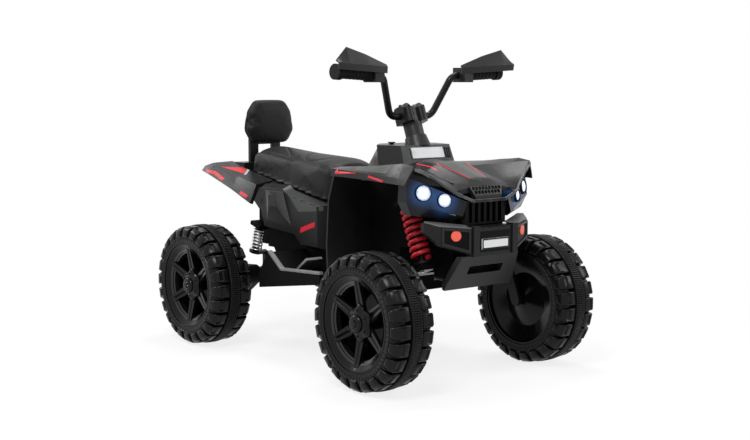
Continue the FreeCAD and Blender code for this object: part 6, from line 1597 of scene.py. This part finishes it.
@dataclass
class FrontTrim:
    """Brow strip over the lamps, lines under them, the hood's flanks, the bumper's trim, dark plates of painted shade
    on the bumper and the plate's border.

    Places are in millimetres on the right side.
    """

    brow: Sequence[Spot] = ((-173, -391.5, 474), (-158, -399, 468), (-134, -411, 452.5), (-110, -422, 435),
                            (-87, -434, 419.5), (-62, -438, 410), (-47, -439, 404))
    brow_up: Flat = (-5.0, 1.8)
    brow_out: Flat = (-3.8, 1.0)
    brow_edge: float = 1.2
    brow_sharp: float = 40.0
    flank_inner: Sequence[Spot] = ((-70, -288, 465.4), (-74.4, -330, 457.4), (-74.4, -357, 451.6), (-74.4, -383, 444.8),
                                   (-74.4, -408, 437.4), (-74.4, -421, 428.0))
    flank_outer: Sequence[Spot] = ((-171, -389.5, 479.0), (-150, -400.5, 464.5), (-134, -408.5, 453.6),
                                   (-118, -416.5, 441.0), (-102, -424.5, 428.0), (-88, -431.5, 420.2))
    flank_cuts: int = 3
    flank_drop: float = 3.0
    flank_sink: float = 0.4
    line: Sequence[Spot] = ((-180.9, -358, 407), (-86.5, -425, 373))
    line_half: float = 1.3
    line_edge: float = 0.4
    wing: Sequence[Flat] = ((-128, 349.5), (-128, 312), (-67, 292.5), (-67, 343.5))
    wing_root: Flat = (-58.0, -458.0)
    wing_slope: float = 31.0 / 72.0
    wing_frame: Flat = (5.5, 3.0)
    # Size share and thickness of the dark plates of painted shade in the wing recesses
    recess: Flat = (0.86, 0.5)
    wing_cap: Sequence[Spot] = ((-60, -457, 343.5), (-130, -426, 350.5), (-150, -395, 358.5), (-138, -386, 358.5),
                                (-100, -404, 352.5), (-60, -425, 348.5))
    cap_thickness: float = 3.0
    cap_edge: float = 0.35
    plate: Sequence[Flat] = ((-40, 322), (-40, 299), (40, 299), (40, 322))
    plate_front: float = -460.9
    plate_frame: Flat = (3.2, 0.6)
    centre: Sequence[Flat] = ((-43, 338), (-43, 293), (43, 293), (43, 338))
    centre_front: float = -458.0

    def section(self, out: Flat, up: Flat) -> list[Vector]:
        """Corners of an upright section, out along Y and up along Z."""
        return [Vector((0, y, z)) * MM for y, z in ((out[0], up[0]), (out[0], up[1]), (out[1], up[1]), (out[1], up[0]))]

    def wing_place(self, corner: Flat, side: Side) -> Vector:
        """A place on the bumper wing's front face."""
        x, z = corner
        return side.turn((x, self.wing_root[1] + (self.wing_root[0] - x) * self.wing_slope, z))

    def plate_on(self, corners: Sequence[Vector], name: str) -> None:
        """Lay a thin dark plate on a flat outline of the bumper, as painted shade where the bumper is recessed.

        Args:
            corners: Corners of the plate, anticlockwise as seen from outside.
            name: Name of the piece.
        """
        mesh = bmesh.new()
        face = mesh.faces.new([mesh.verts.new(corner) for corner in corners])
        face.normal_update()
        out = face.normal * self.recess[1] * MM
        grown = bmesh.ops.extrude_face_region(mesh, geom=[face])["geom"]
        bmesh.ops.translate(mesh, vec=out, verts=verts_of(grown))
        fit(mesh, name, "front_bumper", DEEP)

    def flank(self, side: Side) -> None:
        """A smooth cover from the hood's edge to the crest of the brow, resting on the fender.

        Args:
            side: Side of the vehicle.
        """
        node = f"front_fender_{side.word}"
        mesh = bmesh.new()
        rows = []
        for row in (self.flank_inner, self.flank_outer):
            verts = [mesh.verts.new(side.turn(spot)) for spot in row]
            rows += [mesh.edges.new(pair) for pair in zip(verts, verts[1:])]
        bmesh.ops.bridge_loops(mesh, edges=rows)
        bmesh.ops.subdivide_edges(mesh, edges=[edge for edge in mesh.edges if edge not in rows], cuts=self.flank_cuts,
                                  use_grid_fill=True)
        seats = [surface(node), surface("hood")]
        grown = bmesh.ops.extrude_face_region(mesh, geom=mesh.faces[:])["geom"]
        for vert in verts_of(grown):
            hits = [seat.ray_cast(vert.co, Vector((0, 0, -1)))[0] for seat in seats]
            vert.co.z = max([hit.z for hit in hits if hit] + [vert.co.z - self.flank_drop * MM]) - self.flank_sink * MM
        fit(mesh, f"hood_flank_{side.word}", node, BODY)

    def brow_strip(self) -> None:
        """The strip over the lamps, from side to side."""
        route = [Side.RIGHT.turn(spot) for spot in self.brow] + [Side.LEFT.turn(spot) for spot in reversed(self.brow)]
        mesh = bmesh.new()
        strip = sweep(mesh, route, self.section(self.brow_out, self.brow_up))
        blunt(mesh, strip, self.brow_edge * MM, self.brow_sharp)
        fit(mesh, "brow_strip", "nose_grille", BROW)

    def lamp_line(self, side: Side) -> None:
        """The line under the lamps of one side.

        Args:
            side: Side of the vehicle.
        """
        half = (-self.line_half, self.line_half)
        mesh = bmesh.new()
        strip = sweep(mesh, [side.turn(spot) for spot in self.line], self.section(half, half))
        blunt(mesh, strip, self.line_half * self.line_edge * MM)
        fit(mesh, f"lamp_line_{side.word}", "headlight_housings", BROW)

    def wing_trim(self, side: Side) -> None:
        """Frame, cap and dark plate of painted recess shade of one bumper wing.

        Args:
            side: Side of the vehicle.
        """
        corners = [self.wing_place(corner, side) for corner in self.wing]
        if side is Side.LEFT:
            corners.reverse()
        mesh = bmesh.new()
        border(mesh, corners, self.wing_frame[0] * MM, self.wing_frame[1] * MM)
        fit(mesh, f"bumper_frame_{side.word}", "front_bumper", GREY)
        mesh = bmesh.new()
        top = mesh.faces.new([mesh.verts.new(side.turn(spot)) for spot in self.wing_cap])
        grown = bmesh.ops.extrude_face_region(mesh, geom=[top])["geom"]
        bmesh.ops.translate(mesh, vec=(0, 0, self.cap_thickness * MM), verts=verts_of(grown))
        blunt(mesh, mesh.edges[:], self.cap_thickness * self.cap_edge * MM)
        fit(mesh, f"bumper_cap_{side.word}", "front_bumper", BROW)
        middle = sum(corners, Vector()) / len(corners)
        within = [middle + (corner - middle) * self.recess[0] for corner in corners]
        self.plate_on(within, f"bumper_recess_{side.word}")

    def build(self) -> None:
        """Build the trim from the brow down to the plate."""
        self.brow_strip()
        for side in Side:
            self.lamp_line(side)
            self.wing_trim(side)
            self.flank(side)
        # A dark plate round the number plate, as painted shade of the centre recess
        self.plate_on([Vector((x, self.centre_front, z)) * MM for x, z in self.centre], "bumper_centre_recess")
        mesh = bmesh.new()
        border(mesh, [Vector((x, self.plate_front, z)) * MM for x, z in self.plate], self.plate_frame[0] * MM,
               self.plate_frame[1] * MM)
        fit(mesh, "plate_border", "number_plate", GLOSS)


@dataclass
class Lamps:
    """Bezels and domes on the four lamp glasses."""

    centres: Sequence[tuple[Spot, float]] = LAMP_PLACES
    way: Spot = (-0.5, -1.0, 0.12)
    bezel: Sequence[Flat] = ((-4.0, 1.0), (1.6, 0.97), (2.6, 1.0), (2.6, 1.05), (1.0, 1.11), (-4.0, 1.13))
    dome: Sequence[Flat] = ((-1.0, 0.74), (0.8, 0.72), (1.2, 0.62), (1.2, 0.5), (2.6, 0.42), (3.4, 0.24), (3.7, 0.001),
                            (-1.0, 0.001))
    steps: int = 48
    reach: float = 1.5

    def front(self, centre: Vector, way: Vector, radius: float) -> Vector:
        """Middle of a lamp glass's front face."""
        points = [vert.co - centre for vert in frame["nodes"]["headlamp_lenses"].data.vertices]
        return centre + way * max(point.dot(way) for point in points if point.length < radius * self.reach)

    def build(self) -> None:
        """Build the pieces of each lamp."""
        for side in Side:
            way = side.turn(self.way).normalized()
            turn = way.to_track_quat("X", "Z").to_matrix().to_4x4()
            for number, (spot, radius) in enumerate(self.centres):
                front = self.front(side.turn(spot), way, radius * MM)
                place = Matrix.Translation(front) @ turn
                label = f"{'outer' if number == 0 else 'inner'}_{side.word}"
                for part, outline, finish in (("bezel", self.bezel, GLOSS), ("dome", self.dome, LAMP)):
                    mesh = bmesh.new()
                    ring(mesh, [(x, share * radius) for x, share in outline], self.steps)
                    bmesh.ops.transform(mesh, matrix=place, verts=mesh.verts)
                    fit(mesh, f"lamp_{part}_{label}", "headlamp_lenses", finish)


@dataclass(frozen=True)
class Bolt:
    """A bolt head, pressed on a node along a direction from a place in millimetres on the right side."""

    name: str
    node: str
    place: Spot
    way: Spot
    radius: float
    height: float
    finish: Finish


@dataclass
class SmallParts:
    """Dash ribs and bolt heads."""

    ribs: Sequence[float] = (50.0, 56.0, 62.0, 68.0)
    rib_width: float = 3.4
    rib_up: Flat = (484.0, 507.0)
    rib_proud: float = 1.8
    bolt_sink: float = 0.5
    bolts: Sequence[Bolt] = (
        Bolt("spring_bolt", "front_axle_beam", (-119.0, -420.0, 249.0), (0, 1, 0), 4.2, 5.0, BRIGHT_STEEL),
        Bolt("fender_screw", "rear_fender_{side}", (-93.6, 286.0, 600.0), (0, 0, -1), 5.0, 2.2, BLACK_STEEL),
        Bolt("clamp_bolt_front", "handlebar_clamp", (-21.0, -195.0, 800.0), (0, 0, -1), 3.4, 3.0, BLACK_STEEL),
        Bolt("clamp_bolt_rear", "handlebar_clamp", (-21.0, -163.0, 800.0), (0, 0, -1), 3.4, 3.0, BLACK_STEEL),
    )

    def dash_ribs(self) -> None:
        """Upright ribs beside the dash panel."""
        tree = surface("dash_console")
        mesh = bmesh.new()
        ahead = Vector((0, 1, 0))
        for across in self.ribs:
            ends = [tree.ray_cast(Vector((across * MM, -1.0, up * MM)), ahead)[0] for up in self.rib_up]
            if None in ends:
                continue
            half, proud = self.rib_width / 2 * MM, self.rib_proud * MM
            section = [Vector((-half, MM, 0)), Vector((-half, -proud, 0)), Vector((half, -proud, 0)),
                       Vector((half, MM, 0))]
            blunt(mesh, sweep(mesh, ends, section), proud * EDGE_SHARE)
        fit(mesh, "dash_ribs", "dash_console", GLOSS)

    def bolt(self, bolt: Bolt, side: Side) -> None:
        """Press one bolt head on its node.

        Args:
            bolt: The bolt head.
            side: Side of the vehicle.
        """
        node = bolt.node.format(side=side.word)
        way = Vector((-side.value * bolt.way[0], bolt.way[1], bolt.way[2]))
        hit, normal, _, _ = surface(node).ray_cast(side.turn(bolt.place), way)
        if hit is None:
            LOG.info("%s: no seat on %s", bolt.name, node)
            return
        mesh = bmesh.new()
        turn = normal.to_track_quat("Z", "X").to_matrix().to_4x4()
        foot = Matrix.Translation(hit - normal * self.bolt_sink * MM) @ turn
        pillar(mesh, foot, bolt.radius * MM, bolt.height * MM, BOLT_SIDES, bolt.radius * BOLT_EDGE * MM)
        fit(mesh, f"{bolt.name}_{side.word}", node, bolt.finish)

    def build(self) -> None:
        """Build all the small parts."""
        self.dash_ribs()
        for bolt in self.bolts:
            for side in Side:
                self.bolt(bolt, side)


@dataclass(frozen=True)
class SoftBox:
    """One soft box: where it hangs, its size and its power in watts."""

    name: str
    place: Spot
    size: Flat
    power: float


@dataclass
class Studio:
    """Floor, light and camera."""

    floor: float = 9.0
    floor_drop: float = 0.0005
    floor_cells: int = 8
    floor_tones: tuple[Colour, Colour] = ((0.9, 0.9, 0.9), (0.92, 0.92, 0.92))
    floor_rough: float = 0.9
    floor_clouds: Flat = (3.0, 2.0)
    floor_fade: Flat = (0.55, 1.4)
    floor_veil: float = 0.82
    surround: Flat = (0.3, 1.0)
    target: Spot = (0.0, 0.0, 0.3)
    boxes: Sequence[SoftBox] = (
        SoftBox("key_box", (-1.5, -1.1, 2.3), (0.9, 0.9), 44.0),
        SoftBox("top_box", (0.4, 0.3, 2.6), (1.0, 1.2), 34.0),
        SoftBox("side_box", (1.9, -1.7, 1.5), (0.6, 1.1), 16.0),
        SoftBox("back_box", (-1.2, 2.2, 1.8), (1.2, 0.7), 22.0),
    )
    camera_place: Spot = (-1.9695, -2.4776, 0.6582)
    camera_way: Spot = (0.626, 0.773, -0.1055)
    lens: float = 62.78
    sensor: float = 36.0

    def lay_floor(self) -> None:
        """A pale floor that takes a soft shadow and fades to white away from the object."""
        mesh = bmesh.new()
        bmesh.ops.create_grid(mesh, x_segments=self.floor_cells, y_segments=self.floor_cells, size=self.floor)
        bmesh.ops.translate(mesh, vec=(0, 0, -self.floor_drop), verts=mesh.verts)
        data = bpy.data.meshes.new("studio_floor")
        mesh.to_mesh(data)
        mesh.free()
        floor = bpy.data.objects.new("studio_floor", data)
        bpy.context.scene.collection.objects.link(floor)
        shade = Shade("studio_floor_paint")
        far = shade.away((0.0, 0.0, 0.0)).fade(*self.floor_fade)
        tone = shade.noise(*self.floor_clouds)
        shade.dress(Base_Color=shade.mix(tone, *self.floor_tones), Roughness=self.floor_rough)
        white = shade.add("ShaderNodeEmission", {}, {"Color": (1.0, 1.0, 1.0), "Strength": 1.0})
        veil = (self.floor_veil + far * (1 - self.floor_veil)) * shade.open_rays()
        blend = shade.add("ShaderNodeMixShader", {}, {0: veil, 1: shade.shader.outputs[0], 2: white.outputs[0]})
        shade.feed(shade.output.inputs["Surface"], blend.outputs[0])
        data.materials.append(shade.material)

    def hang(self, box: SoftBox) -> None:
        """Hang one soft box, turned to the object.

        Args:
            box: The soft box.
        """
        data = bpy.data.lights.new(box.name, "AREA")
        data.shape = "RECTANGLE"
        data.size, data.size_y = box.size
        data.energy = box.power
        lamp = bpy.data.objects.new(box.name, data)
        lamp.location = box.place
        lamp.rotation_euler = (Vector(self.target) - Vector(box.place)).to_track_quat("-Z", "Y").to_euler()
        bpy.context.scene.collection.objects.link(lamp)

    def sky(self) -> None:
        """An even surround, white where it is seen."""
        world = bpy.data.worlds.new("studio_world")
        bpy.context.scene.world = world
        world.use_nodes = True
        nodes = Nodes(world.node_tree)
        dim, bright = self.surround
        strength = dim + nodes.open_rays() * (bright - dim)
        light = nodes.add("ShaderNodeBackground", {}, {"Color": (1.0, 1.0, 1.0), "Strength": strength})
        nodes.add("ShaderNodeOutputWorld", {}, {"Surface": light.outputs[0]})

    def aim(self) -> None:
        """A camera where the photograph's one stood."""
        data = bpy.data.cameras.new("photo_camera")
        data.lens = self.lens
        data.sensor_width = self.sensor
        camera = bpy.data.objects.new("photo_camera", data)
        camera.location = self.camera_place
        camera.rotation_euler = Vector(self.camera_way).to_track_quat("-Z", "Y").to_euler()
        bpy.context.scene.collection.objects.link(camera)
        bpy.context.scene.camera = camera

    def build(self) -> None:
        """Set the studio up."""
        bpy.context.scene.view_settings.view_transform = "Standard"
        self.lay_floor()
        self.sky()
        for box in self.boxes:
            self.hang(box)
        self.aim()


def main() -> None:
    """Build the sub-assemblies in order."""
    logging.basicConfig(level=logging.INFO, format="%(name)s: %(message)s")
    Studio().build()
    Shell().build()
    for end in End:
        for side in Side:
            Wheel(end, side).build()
    Springs().build()
    Seat().build()
    Stickers().build()
    FrontTrim().build()
    Lamps().build()
    SmallParts().build()
    bpy.context.view_layer.update()


if __name__ == "__main__":
    main()
